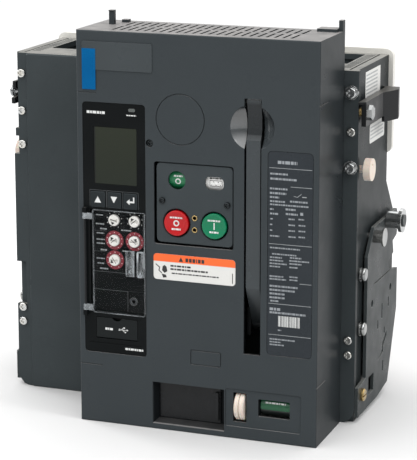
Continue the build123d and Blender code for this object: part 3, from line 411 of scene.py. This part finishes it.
FINISH = {
    "case_plastic": case_moulding("case_moulding", (0.040, 0.047, 0.051)),
    "panel_plastic": surface("body_moulding", (0.042, 0.050, 0.053), (0.26, 0.34), dust_and_top_highlight=0.5,
                             grain=900.0, relief=0.15, sides=0.58, Specular_IOR_Level=0.04),
    "bezel_plastic": surface("bezel_moulding", (0.009, 0.0115, 0.013), (0.32, 0.44), grain=1500.0,
                             Specular_IOR_Level=0.08),
    "black_plastic": surface("black_moulding", (0.008, 0.009, 0.009), (0.28, 0.44), Specular_IOR_Level=0.4),
    "pale_plastic": surface("pale_moulding", (0.66, 0.65, 0.61), (0.42, 0.56), tint=(0.74, 0.72, 0.66),
                            edge=0.15, dust_and_top_highlight=0.15),
    "cream_nylon": surface("cream_nylon", (0.66, 0.57, 0.49), (0.36, 0.5), tint=(0.73, 0.66, 0.58), edge=0.2,
                           Subsurface_Weight=0.15, Subsurface_Scale=0.002),
    "white_dial": surface("dial_white", (0.80, 0.79, 0.75), (0.3, 0.42), tint=(0.86, 0.85, 0.82), edge=0.1),
    "key_rubber": surface("key_rubber", (0.014, 0.018, 0.020), (0.55, 0.7), grain=2200.0, edge=0.7,
                          Specular_IOR_Level=0.15,
                          edge_colour=(0.12, 0.14, 0.15), radius=0.0009),
    "red_button": surface("button_red", (0.40, 0.005, 0.008), (0.2, 0.32), tint=(0.48, 0.010, 0.012),
                          grain=2200.0, relief=0.06, edge_colour=(0.75, 0.15, 0.12), radius=0.0008,
                          Specular_IOR_Level=0.3),
    "green_button": surface("button_green", (0.001, 0.16, 0.070), (0.2, 0.32), tint=(0.002, 0.20, 0.095),
                            grain=2200.0, relief=0.06, edge_colour=(0.10, 0.5, 0.32), radius=0.0008,
                            Specular_IOR_Level=0.3),
    "clear_plastic": clear("clear_lid"),
    "display": lcd("display_glass"),
    "led": surface("led_lens", (0.050, 0.060, 0.056), (0.1, 0.2), grain=2600.0, relief=0.05, edge=0.2,
                   Coat_Weight=0.5, Coat_Roughness=0.05),
    "label": surface("label_paper", (0.66, 0.66, 0.64), (0.45, 0.6), tint=(0.71, 0.70, 0.67), grain=1600.0,
                     relief=0.1, edge=0.05),
    "nameplate": surface("nameplate_film", (0.022, 0.027, 0.032), (0.22, 0.34), grain=1800.0, relief=0.06,
                         edge=0.4, Specular_IOR_Level=0.15),
    "badge": surface("badge_film", (0.040, 0.048, 0.052), (0.24, 0.34), grain=1800.0, relief=0.06,
                     edge=0.5, Specular_IOR_Level=0.2),
    "board": surface("board_green", (0.015, 0.12, 0.05), (0.3, 0.45), tint=(0.03, 0.2, 0.09), cloud=120.0),
    "painted_steel": surface("powder_coat", (0.040, 0.047, 0.049), (0.24, 0.38), tint=(0.055, 0.062, 0.063),
                             grain=1400.0, relief=0.3, edge=1.0, edge_colour=(0.36, 0.38, 0.38), dust_and_top_highlight=0.2,
                             sides=0.3, Specular_IOR_Level=0.06),
    "black_steel": surface("black_steel", (0.008, 0.009, 0.010), (0.28, 0.42), grain=1200.0, edge=0.6,
                           dust_and_top_highlight=0.2, Specular_IOR_Level=0.15),
    "zinc_steel": metal("zinc_plate", (0.42, 0.43, 0.435), (0.16, 0.28), (0.60, 0.58, 0.53), (1.0, 1.0, 1.0)),
    "bright_steel": metal("turned_steel", (0.50, 0.51, 0.51), (0.10, 0.2), (0.34, 0.35, 0.35),
                          (30.0, 1.0, 1.0)),
    "spring_steel": metal("spring_steel", (0.30, 0.30, 0.31), (0.25, 0.42), (0.22, 0.21, 0.20),
                          (1.0, 1.0, 12.0)),
    "copper": metal("silvered_copper", (0.70, 0.42, 0.30), (0.28, 0.42), (0.76, 0.66, 0.58),
                    (1.0, 12.0, 1.0)),
    "brass": metal("brass", (0.52, 0.38, 0.17), (0.18, 0.3), (0.36, 0.26, 0.12), (12.0, 1.0, 1.0)),
    "motor": surface("motor_paint", (0.14, 0.15, 0.16), (0.35, 0.5), Metallic=0.3),
    "resin": surface("moulded_resin", (0.016, 0.017, 0.018), (0.42, 0.56), dust_and_top_highlight=0.12),
}
RED_FLAG = (0.46, 0.02, 0.018)
FLAGS = {
    "contact_indicator": sector_paint("contact_flag", "contact_indicator", (0.006, 0.17, 0.062), RED_FLAG,
                                      (0.3, 0.45)),
    "spring_indicator": sector_paint("spring_flag", "spring_indicator", (0.90, 0.90, 0.88),
                                     (0.75, 0.50, 0.03), (0.3, 0.45)),
    "position_indicator": sector_paint("position_flag", "position_indicator", (0.002, 0.075, 0.026), RED_FLAG,
                                       (0.22, 0.36), shade_below=-12),
    "panel_screws": screw_metal("screw_zinc", COVER_LOW.y + 60 * MM),
    "charging_handle": handle_moulding("handle_moulding", (0.040, 0.047, 0.051)),
    "racking_shutter": surface("shutter_gloss", (0.008, 0.009, 0.010), (0.08, 0.34), cloud=60.0, edge=0.2,
                                Specular_IOR_Level=0.25),
    "trip_unit_housing": surface("trip_bezel", (0.0042, 0.0052, 0.0056), (0.30, 0.40), grain=1500.0, edge=0.3,
                                 Specular_IOR_Level=0.06),
    "control_plate": surface("control_moulding", (0.036, 0.044, 0.048), (0.30, 0.42), grain=1500.0,
                             Specular_IOR_Level=0.15),
    "side_studs": metal("stud_zinc", (0.27, 0.28, 0.285), (0.12, 0.26), (0.40, 0.40, 0.38),
                        (1.0, 1.0, 1.0), edge=0.8),
    "test_socket": surface("socket_ring", (0.030, 0.034, 0.036), (0.18, 0.3), edge=0.8,
                           edge_colour=(0.45, 0.46, 0.46)),
    "aux_port_cover": surface("port_flap", (0.0075, 0.0095, 0.010), (0.34, 0.46), grain=1500.0,
                              Specular_IOR_Level=0.12),
}
INK = {
    "white": surface("ink_white", (0.70, 0.71, 0.70), (0.4, 0.55), tint=(0.60, 0.61, 0.60), edge=0.0),
    "grey": surface("ink_grey", (0.34, 0.36, 0.37), (0.4, 0.55), tint=(0.26, 0.28, 0.29), edge=0.0),
    "black": surface("ink_black", (0.014, 0.014, 0.015), (0.4, 0.55), edge=0.0),
    "orange": surface("ink_orange", (0.86, 0.115, 0.014), (0.38, 0.5), tint=(0.90, 0.15, 0.02), vary=0.6,
                      edge=0.0),
    "red": surface("ink_red", (0.20, 0.010, 0.022), (0.4, 0.55), tint=(0.27, 0.015, 0.03), edge=0.0),
    "pale": surface("ink_pale", (0.24, 0.26, 0.28), (0.4, 0.55), tint=(0.34, 0.36, 0.38), edge=0.0),
    "faint": surface("ink_faint", (0.055, 0.062, 0.066), (0.4, 0.55), tint=(0.085, 0.094, 0.098), edge=0.0),
    "blue": surface("ink_blue", (0.0005, 0.085, 0.24), (0.3, 0.42), tint=(0.001, 0.105, 0.28), vary=0.6,
                    Specular_IOR_Level=0.05,
                    cloud=40.0, edge=0.1, edge_colour=(0.1, 0.3, 0.5)),
}

for entry in frame["record"]["subparts"]:
    cad_node = NODES[entry["node"]]
    coat = FLAGS.get(entry["node"]) or FINISH[entry["material_slot"]]
    if not cad_node.material_slots:
        cad_node.data.materials.append(coat)
    for material_slot in cad_node.material_slots:
        material_slot.material = coat

# Printed marks: flat outlines in two dimensions, laid on a face as thin closed slabs

PRINT = 0.06


def rect(u0, u1, w0, w1, rows=1):
    steps = [w0 + (w1 - w0) * i / rows for i in range(rows + 1)]
    return [[(u0, a), (u1, a), (u1, b), (u0, b)] for a, b in zip(steps, steps[1:])]


def arc(u, w, r, start, end, count):
    turns = [math.radians(start + (end - start) * i / count) for i in range(count + 1)]
    return [(u + r * math.cos(t), w + r * math.sin(t)) for t in turns]


def ring(u, w, inner, outer, count=40):
    a, b = arc(u, w, outer, 0, 360, count), arc(u, w, inner, 0, 360, count)
    return [[a[i], a[i + 1], b[i + 1], b[i]] for i in range(count)]


def rounded(u0, u1, w0, w1, r, corners=(1, 1, 1, 1)):
    """Rounded rectangle; corners are lower left, lower right, upper right and upper left."""
    points = []
    spots = ((u0, w0, 1, 1, 180), (u1, w0, -1, 1, 270), (u1, w1, -1, -1, 0), (u0, w1, 1, -1, 90))
    for (u, w, du, dw, start), curved in zip(spots, corners):
        if curved:
            points += arc(u + du * r, w + dw * r, r, start, start + 90, 6)
        else:
            points.append((u, w))
    return [points]


def line(p, q, width):
    (u0, w0), (u1, w1) = p, q
    length = math.hypot(u1 - u0, w1 - w0)
    du, dw = (w0 - w1) / length * width / 2, (u1 - u0) / length * width / 2
    return [[(u0 - du, w0 - dw), (u1 - du, w1 - dw), (u1 + du, w1 + dw), (u0 + du, w0 + dw)]]


WORD_WIDTHS = (2.6, 1.5, 3.4, 2.0, 1.1, 2.9, 1.7)


def words(u0, u1, w, height, scale=1.0):
    """A row of plain bars in place of a line of text."""
    bars, u, i = [], u0, 0
    while u < u1 - 0.3:
        width = min(WORD_WIDTHS[i % len(WORD_WIDTHS)] * scale, u1 - u)
        bars += rect(u, u + width, w - height / 2, w + height / 2)
        u += width + 0.55 * scale
        i += 1
    return bars


def on_front(y):
    return lambda u, w, lift: at(u, y - lift, w)


def on_drum(node, radius):
    """Wraps a print round an indicator drum: w is the arc length above its middle."""
    low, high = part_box(node)
    middle = (low + high) / 2

    def place(u, w, lift):
        turn, r = w / radius, (radius + lift) * MM
        return (COVER_LOW.x + u * MM, middle.y - r * math.cos(turn), middle.z + r * math.sin(turn))

    return place


def on_dish(u0, w0, ball, back):
    """Follows a button's hollow face."""
    def place(u, w, lift):
        away = (u - u0) ** 2 + (w - w0) ** 2
        return at(u, back - ball + math.sqrt(ball * ball - away) - lift, w)

    return place


def on_right_side(x):
    return lambda u, w, lift: (x + lift * MM, COVER_LOW.y + u * MM, w * MM)


def finish_piece(name, verts, faces, material, body):
    mesh = bpy.data.meshes.new(name)
    mesh.from_pydata(verts, [], faces)
    mesh.validate()
    obj = bpy.data.objects.new(name, mesh)
    bpy.context.scene.collection.objects.link(obj)
    mesh.materials.append(material)
    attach(obj, body)
    return obj


def decal(name, shapes, place, material, body=ROOT, thick=PRINT, sink=0.0):
    """Closed thin slabs over the shapes; cells that share an edge share it in the slab too."""
    index, flat, cells = {}, [], []
    for shape in shapes:
        cell = []
        for point in shape:
            key = (round(point[0], 4), round(point[1], 4))
            if key not in index:
                index[key] = len(flat)
                flat.append(key)
            if not cell or cell[-1] != index[key]:
                cell.append(index[key])
        if cell[0] == cell[-1]:
            cell.pop()
        cells.append(cell)
    count = len(flat)
    verts = [place(u, w, thick) for u, w in flat] + [place(u, w, -sink) for u, w in flat]
    edges = {}
    for cell in cells:
        for a, b in zip(cell, cell[1:] + cell[:1]):
            edges[(a, b)] = edges.get((a, b), 0) + 1
    faces = [list(cell) for cell in cells] + [[i + count for i in reversed(cell)] for cell in cells]
    faces += [[b, a, a + count, b + count] for a, b in edges if (b, a) not in edges]
    obj = finish_piece(name, verts, faces, material, body)
    fix_normals(obj.data)
    return obj


def fix_normals(mesh):
    shape = bmesh.new()
    shape.from_mesh(mesh)
    bmesh.ops.recalc_face_normals(shape, faces=shape.faces)
    shape.to_mesh(mesh)
    shape.free()


def lathe(name, profile, centre, material, body=ROOT, count=48):
    """Ring or knob: a closed outline of (along, radius) spun round the Y axis through centre, in metres."""
    verts, faces, size = [], [], len(profile)
    for i in range(count):
        turn = 2 * math.pi * i / count
        c, s = math.cos(turn), math.sin(turn)
        for along, r in profile:
            a, p, q = along * MM, r * MM * c, r * MM * s
            verts.append((centre[0] + p, centre[1] + a, centre[2] + q))
    for i in range(count):
        for j in range(size):
            a, b = i * size + j, i * size + (j + 1) % size
            c, d = (i + 1) % count * size + (j + 1) % size, (i + 1) % count * size + j
            faces.append([a, b, c, d])
    obj = finish_piece(name, verts, faces, material, body)
    fix_normals(obj.data)
    for polygon in obj.data.polygons:
        polygon.use_smooth = True
    return obj


# Cover: marker, nameplate and label

decal("badge_marker", rounded(5.5, 17.7, 287.0, 321.0, 0.4), on_front(front_of("badge_plate")), INK["blue"],
      thick=0.12)

NAMEPLATE_ROWS = (
    (175.4, 191.9, 237.1, 2.6), (169.1, 183.9, 227.5, 1.5), (169.2, 191.7, 223.4, 1.7),
    (168.9, 184.4, 215.3, 1.5), (168.9, 182.8, 211.6, 1.7), (169.0, 176.8, 208.2, 1.5),
    (169.0, 181.7, 204.9, 1.5), (185.9, 201.4, 205.7, 1.5), (169.0, 201.5, 202.2, 1.3),
    (169.0, 172.1, 198.3, 1.4), (182.3, 190.7, 199.0, 1.6), (169.1, 176.3, 194.6, 1.5),
    (182.4, 192.6, 195.2, 1.6), (169.4, 171.8, 190.3, 1.1), (184.8, 189.9, 191.1, 1.2),
    (193.2, 198.0, 191.5, 1.2), (169.1, 171.8, 185.6, 1.1), (184.8, 190.3, 186.2, 1.2),
    (193.3, 199.0, 186.5, 1.2), (169.1, 171.9, 180.8, 1.1), (184.9, 190.3, 181.5, 1.2),
    (193.3, 199.0, 181.8, 1.2), (169.2, 177.1, 176.2, 1.2), (184.9, 191.0, 176.5, 1.2),
    (193.4, 198.8, 176.9, 1.2), (169.3, 195.3, 166.4, 1.2), (171.1, 191.7, 161.3, 1.2),
    (169.3, 180.2, 158.4, 1.2), (186.3, 196.0, 159.2, 1.2), (169.1, 180.6, 155.9, 1.2),
    (185.8, 202.5, 156.7, 1.2), (169.1, 183.6, 153.3, 1.2), (185.9, 196.8, 154.2, 1.2),
    (169.1, 178.4, 150.8, 1.2), (185.9, 192.8, 151.2, 1.2), (169.1, 180.8, 142.6, 1.3),
    (186.0, 192.9, 143.2, 1.1), (169.1, 183.1, 140.3, 1.3), (186.0, 192.9, 140.7, 1.1),
    (169.2, 193.0, 134.4, 1.6), (169.2, 190.7, 131.2, 1.6), (169.2, 182.0, 128.0, 1.6),
    (169.2, 182.1, 124.8, 1.6), (169.9, 176.9, 121.9, 1.4), (169.3, 178.4, 115.0, 2.3),
    (169.3, 200.2, 112.1, 1.7), (176.5, 179.4, 97.5, 1.1), (169.5, 191.1, 89.6, 1.2),
    (169.5, 179.2, 87.2, 1.1), (169.5, 181.8, 84.9, 1.2),
)
NAMEPLATE_RULES = ((168.4, 204.3, 232.3), (186.4, 204.3, 217.6), (168.4, 204.6, 169.6), (194.5, 204.6, 138.0),
                   (168.4, 204.6, 119.6), (168.4, 204.6, 93.4))
plate_face = on_front(front_of("nameplate"))
rows = []
for u0, u1, w, height in NAMEPLATE_ROWS:
    rows += words(u0, u1, w, height, 0.8 if height < 2 else 1.2)
rows += rect(194.7, 197.1, 194.8, 197.2)
decal("nameplate_print", rows, plate_face, INK["pale"])
rules = []
for u0, u1, w in NAMEPLATE_RULES:
    rules += rect(u0, u1, w - 0.22, w + 0.22)
rules += line((189.1, 210.2), (192.0, 209.6), 0.4) + line((192.0, 209.4), (195.6, 212.4), 0.45)
rules += rect(196.2, 199.9, 209.5, 210.3)
decal("nameplate_rules", rules, plate_face, INK["grey"])
bars, u = [], 176.8
for i in range(17):
    width = (0.5, 0.9, 0.35, 0.7, 0.5, 1.05)[i % 6]
    bars += rect(u, min(u + width, 196.7), 100.7, 109.7)
    u += width + (0.35, 0.6, 0.45)[i % 3]
decal("nameplate_code", bars, plate_face, INK["white"])

label_face = on_front(front_of("control_label"))
decal("label_band", rounded(67.9, 139.8, 146.5, 153.0, 3.0, (0, 0, 1, 1)), label_face, INK["orange"],
      thick=0.05)
marks = [[(90.2, 147.5), (94.2, 147.5), (92.2, 151.4)]]
for u0, u1 in ((96.2, 98.6), (99.3, 101.7), (102.4, 104.8), (105.5, 106.4), (107.2, 109.6), (110.3, 112.7)):
    marks += rect(u0, u1, 147.6, 150.8)
decal("label_band_print", marks, on_front(front_of("control_label") - 0.05), INK["black"],
      thick=0.03)
marks = words(82.9, 100.9, 143.4, 1.5, 1.1) + words(82.9, 115.8, 140.6, 1.5, 1.1)
marks += words(84.0, 125.6, 137.1, 1.1, 1.1)
marks += rect(137.0, 137.7, 133.0, 141.5)
marks += line((69.8, 144.0), (73.2, 141.4), 0.8) + line((73.4, 141.6), (72.6, 138.6), 0.8)
marks += line((72.5, 138.8), (75.2, 136.6), 0.8)
marks += [[(76.0, 142.4), (77.6, 143.6), (79.4, 142.2), (80.2, 138.4), (77.6, 136.8), (75.4, 139.0)]]
marks += [[(75.0, 136.0), (78.8, 135.4), (79.6, 133.2), (76.4, 132.6)]]
decal("label_print", marks, label_face, INK["black"], thick=0.04)

# Control plate: symbols and eyelets

DRUM, SMALL_DRUM = 11.0, 9.0
BUTTONS = {"open_button": (88.0, 179.7), "close_button": (121.1, 179.7)}
BUTTON_BALL, BUTTON_DEEPEST = 40.0, 0.4
for name, (u, w) in BUTTONS.items():
    hollow = on_dish(u, w, BUTTON_BALL, BUTTON_DEEPEST)
    shapes = words(u - 5.4, u + 5.4, w + 4.7, 1.5, 0.75)
    shapes += words(u - 4.0, u + 4.0, w - 5.0, 1.5, 0.75)
    if name == "open_button":
        shapes += ring(u, w, 1.5, 2.6, 28)
    else:
        shapes += rect(u - 0.5, u + 0.5, w - 2.9, w + 2.9, 4)
    decal(name + "_mark", shapes, hollow, INK["white"], body=name, thick=0.09)

decal("contact_flag_open", ring(88.2, -1.4, 1.5, 2.5, 28) + words(84.4, 92.2, 3.0, 1.4, 0.8),
      on_drum("contact_indicator", DRUM), INK["white"], body="contact_indicator")
QUARTER = DRUM * math.pi / 2
decal("contact_flag_closed", rect(87.6, 88.8, QUARTER - 4.2, QUARTER + 1.4, 6)
      + words(84.4, 92.2, QUARTER + 3.4, 1.4, 0.8),
      on_drum("contact_indicator", DRUM), INK["white"], body="contact_indicator")


def coil_mark(u0, u1, w, height, count):
    """Generic spring symbol in a frame."""
    step, shapes = (u1 - u0) / count, []
    for i in range(count):
        low, high = (w - height, w + height) if i % 2 == 0 else (w + height, w - height)
        shapes += line((u0 + i * step, low), (u0 + (i + 1) * step, high), 0.6)
    side, top = 1.3, height + 0.8
    for w0 in (w - top, w + top):
        shapes += rect(u0 - side, u1 + side, w0 - 0.2, w0 + 0.2)
    for u in (u0 - side, u1 + side):
        shapes += rect(u - 0.2, u + 0.2, w - top + 0.25, w + top - 0.25, 2)
    return shapes


decal("spring_flag_relaxed", words(115.8, 126.8, 3.3, 1.0, 0.9) + coil_mark(117.4, 125.4, -0.9, 1.6, 4),
      on_drum("spring_indicator", DRUM), INK["black"], body="spring_indicator")
decal("spring_flag_charged", words(115.8, 126.8, QUARTER + 3.3, 1.0, 0.9)
      + coil_mark(118.4, 124.4, QUARTER - 0.9, 1.6, 6),
      on_drum("spring_indicator", DRUM), INK["black"], body="spring_indicator")
decal("position_flag_out", words(165.0, 182.6, 4.2, 1.5, 1.0), on_drum("position_indicator", SMALL_DRUM),
      INK["white"], body="position_indicator")
decal("position_flag_in", words(167.0, 180.6, SMALL_DRUM * math.pi / 2 + 3.0, 1.5, 1.0),
      on_drum("position_indicator", SMALL_DRUM), INK["white"], body="position_indicator")

EYELET = ((0.75, 1.55), (0.6, 1.9), (0.7, 2.35), (0.98, 2.5), (0.98, 2.3), (2.9, 2.3), (2.9, 1.5))
for number, w in enumerate((175.1, 185.0), start=1):
    lathe(f"eyelet_{number}", EYELET, at(103.8, 0, w), FINISH["brass"], count=32)

# Trip unit: glyphs, rings, ticks and rules

TRIP_FACE = 0.4
bezel_face = on_front(TRIP_FACE)
decal("trip_print", words(8.9, 25.4, 268.0, 2.2, 1.0) + words(44.4, 53.0, 267.0, 1.0, 0.7)
      + words(41.6, 57.8, 67.2, 1.8, 0.9), bezel_face, INK["white"])
key_face = on_front(front_of("key_up"))
decal("key_up_glyph", [[(15.2, 191.9), (21.3, 191.9), (18.25, 197.4)]], key_face, INK["white"],
      body="key_up")
decal("key_down_glyph", [[(29.8, 197.9), (32.75, 192.4), (35.8, 197.9)]], key_face, INK["white"],
      body="key_down")
decal("key_enter_glyph", [[(44.1, 194.4), (47.0, 196.9), (47.0, 195.15), (50.0, 195.15), (50.0, 198.6),
                           (51.2, 198.6), (51.2, 193.7), (47.0, 193.7), (47.0, 191.9)]],
      key_face, INK["white"], body="key_enter")
frames = []
for u0, u1 in ((11.7, 24.7), (27.1, 39.3), (41.3, 53.4)):
    for p, q in (((u0 - 0.9, 202.4), (u1 + 0.9, 202.4)), ((u0 - 0.9, 188.2), (u0 - 0.9, 202.2)),
                 ((u1 + 0.9, 188.2), (u1 + 0.9, 202.2))):
        frames += line(p, q, 0.35)
decal("key_frames", frames, bezel_face, INK["faint"])

RECESS_FACE = 3.4
recess_face = on_front(RECESS_FACE)
DIALS = ((31.5, 177.2), (49.8, 177.4), (31.4, 159.8), (49.6, 160.1), (31.7, 142.9))
RINGED = (3, 4, 5)
DIAL_TURNS = (250, 130, 130, 50, 215)
rings, ticks = [], []
for number, (u, w) in enumerate(DIALS, start=1):
    if number in RINGED:
        rings += ring(u, w, 5.2, 8.1)
    for i in range(9):
        turn = math.radians(-60 + i * 37.5)
        tick_u, tick_w = u + 6.7 * math.cos(turn), w + 6.7 * math.sin(turn)
        ticks += [arc(tick_u, tick_w, 0.42, 0, 315, 7)]
    place = on_front(front_of(f"dial_{number}"))
    turn = math.radians(DIAL_TURNS[number - 1])
    c, s = math.cos(turn), math.sin(turn)
    arrow = [(u + c * a - s * b, w + s * a + c * b) for a, b in ((1.6, -1.7), (4.1, 0.0), (1.6, 1.7))]
    cross = line((u - s * 3.0, w + c * 3.0), (u + s * 3.0, w - c * 3.0), 0.5)
    decal(f"dial_{number}_index", [arrow] + cross, place, INK["black"], body=f"dial_{number}",
          thick=0.05)
decal("dial_rings", rings, recess_face, INK["red"])
decal("dial_ticks", ticks, on_front(RECESS_FACE - PRINT), INK["white"], thick=0.05, sink=PRINT)
texts = []
for u0, u1, w, height in (
        (14.6, 22.1, 172.9, 1.1), (18.4, 25.0, 168.9, 1.2), (37.5, 46.9, 169.0, 1.1),
        (15.1, 22.4, 159.6, 1.0), (15.1, 22.4, 156.2, 1.0), (18.7, 24.4, 150.8, 1.3),
        (38.6, 43.0, 151.2, 1.1), (14.9, 22.2, 143.2, 1.0), (15.7, 21.7, 139.0, 1.0),
        (17.9, 25.3, 134.6, 1.2), (15.0, 21.0, 180.6, 1.0), (15.2, 22.0, 165.0, 0.9)):
    texts += words(u0, u1, w, height, 0.7)
decal("setting_print", texts, recess_face, INK["grey"])
rules = rect(12.0, 43.0, 131.8, 132.15) + rect(12.0, 58.6, 116.2, 116.55) + rect(12.0, 23.6, 167.0, 167.25)
rules += rect(12.0, 23.6, 149.2, 149.45) + rect(42.8, 43.15, 98.4, 116.0)
decal("setting_rules", rules, recess_face, INK["faint"])
flap_face = on_front(front_of("aux_port_cover"))
port = words(23.4, 30.6, 83.2, 2.0, 0.8)
port += line((35.8, 83.4), (43.0, 83.4), 0.5) + [[(43.0, 82.5), (43.0, 84.3), (44.6, 83.4)]]
port += [arc(36.4, 83.4, 0.9, 30, 330, 14)]
port += line((38.2, 83.7), (40.0, 85.2), 0.45) + rect(40.0, 41.4, 84.7, 85.9)
port += line((39.4, 83.1), (41.0, 81.7), 0.45) + [arc(41.7, 81.5, 0.65, 0, 330, 12)]
decal("port_mark", port, flap_face, INK["white"], body="aux_port_cover")

# Body: labels on the right side of the case

side_x = CASE_HIGH.x
LABEL_THICK = 0.12
SIDE_LABELS = ((96.5, 142.5, 266.0, 298.0, 0.6), (112.0, 158.5, 234.5, 251.0, 2.5))
for number, (u0, u1, w0, w1, r) in enumerate(SIDE_LABELS, start=1):
    decal(f"side_label_{number}", rounded(u0, u1, w0, w1, r), on_right_side(side_x), FINISH["label"],
          thick=LABEL_THICK)
    printed, w = [], w1 - 3.2
    while w > w0 + 1.5:
        printed += words(u0 + 2.2, u1 - (3.0 if int(w) % 3 else 9.0), w, 1.3, 1.0)
        w -= 3.1
    decal(f"side_label_{number}_print", printed, on_right_side(side_x + LABEL_THICK * MM), INK["grey"],
          thick=0.04)

# Stage, lights and camera

HORIZON, ZENITH = 0.32, 2.3

floor_mesh = bpy.data.meshes.new("floor")
REACH = 30.0
floor_mesh.from_pydata([(-REACH, -REACH, 0), (REACH, -REACH, 0), (REACH, REACH, 0), (-REACH, REACH, 0)], [],
                       [(0, 1, 2, 3)])
floor = bpy.data.objects.new("floor", floor_mesh)
bpy.context.scene.collection.objects.link(floor)
paper = Tree("studio_floor")
mottle = paper.span(paper.noise(3.0, 3.0), 0.3, 0.7)
paper.set(Base_Color=paper.mix(mottle, (0.56, 0.56, 0.56), (0.585, 0.585, 0.585)),
          Roughness=paper.span(paper.noise(40.0, 2.0), 0.3, 0.7, 0.7, 0.8), Specular_IOR_Level=0.1)
floor_mesh.materials.append(paper.material)
floor.location.z = cad_low.z

world = bpy.data.worlds.new("studio")
world.use_nodes = True
sky = world.node_tree
direction = sky.nodes.new("ShaderNodeTexCoord").outputs["Generated"]
split = sky.nodes.new("ShaderNodeSeparateXYZ")
sky.links.new(direction, split.inputs[0])
shade = sky.nodes.new("ShaderNodeMapRange")
shade.interpolation_type = "SMOOTHSTEP"
sky.links.new(split.outputs["Z"], shade.inputs["Value"])
for key, value in (("From Min", 0.05), ("From Max", 0.85), ("To Min", HORIZON), ("To Max", ZENITH)):
    shade.inputs[key].default_value = value
background = sky.nodes["Background"]
background.inputs["Color"].default_value = (1.0, 1.0, 1.0, 1)
sky.links.new(shade.outputs[0], background.inputs["Strength"])
bpy.context.scene.world = world


def softbox(name, place, target, size, power):
    light = bpy.data.lights.new(name, "AREA")
    light.shape = "RECTANGLE"
    light.size, light.size_y = size
    light.energy = power
    obj = bpy.data.objects.new(name, light)
    bpy.context.scene.collection.objects.link(obj)
    obj.location = place
    way = [t - p for t, p in zip(target, place)]
    obj.rotation_euler = Vector(way).to_track_quat("-Z", "Y").to_euler()


softbox("right_box", (1.25, -0.33, 1.35), (0.05, 0.0, 0.2), (0.3, 0.4), 6.0)
softbox("left_box", (-1.35, 0.35, 0.75), (0.0, 0.0, 0.2), (0.4, 0.7), 10.0)
softbox("front_box", (-0.9, -1.5, 1.3), (0.0, -0.1, 0.2), (0.8, 0.8), 4.0)

LENS, SENSOR, SHIFT = 150.82, 36.0, -0.1
CAMERA_PLACE = (0.58274, -1.55204, 0.54475)
CAMERA_DOWN, CAMERA_ROUND = 12.157, 20.307
camera = bpy.data.cameras.new("camera")
camera.lens = LENS
camera.sensor_width = SENSOR
camera.shift_y = SHIFT
camera.clip_start, camera.clip_end = 0.05, 100.0
view = bpy.data.objects.new("camera", camera)
bpy.context.scene.collection.objects.link(view)
view.location = CAMERA_PLACE
view.rotation_euler = (math.radians(90 - CAMERA_DOWN), 0, math.radians(CAMERA_ROUND))
bpy.context.scene.camera = view
bpy.context.scene.view_settings.view_transform = "Standard"
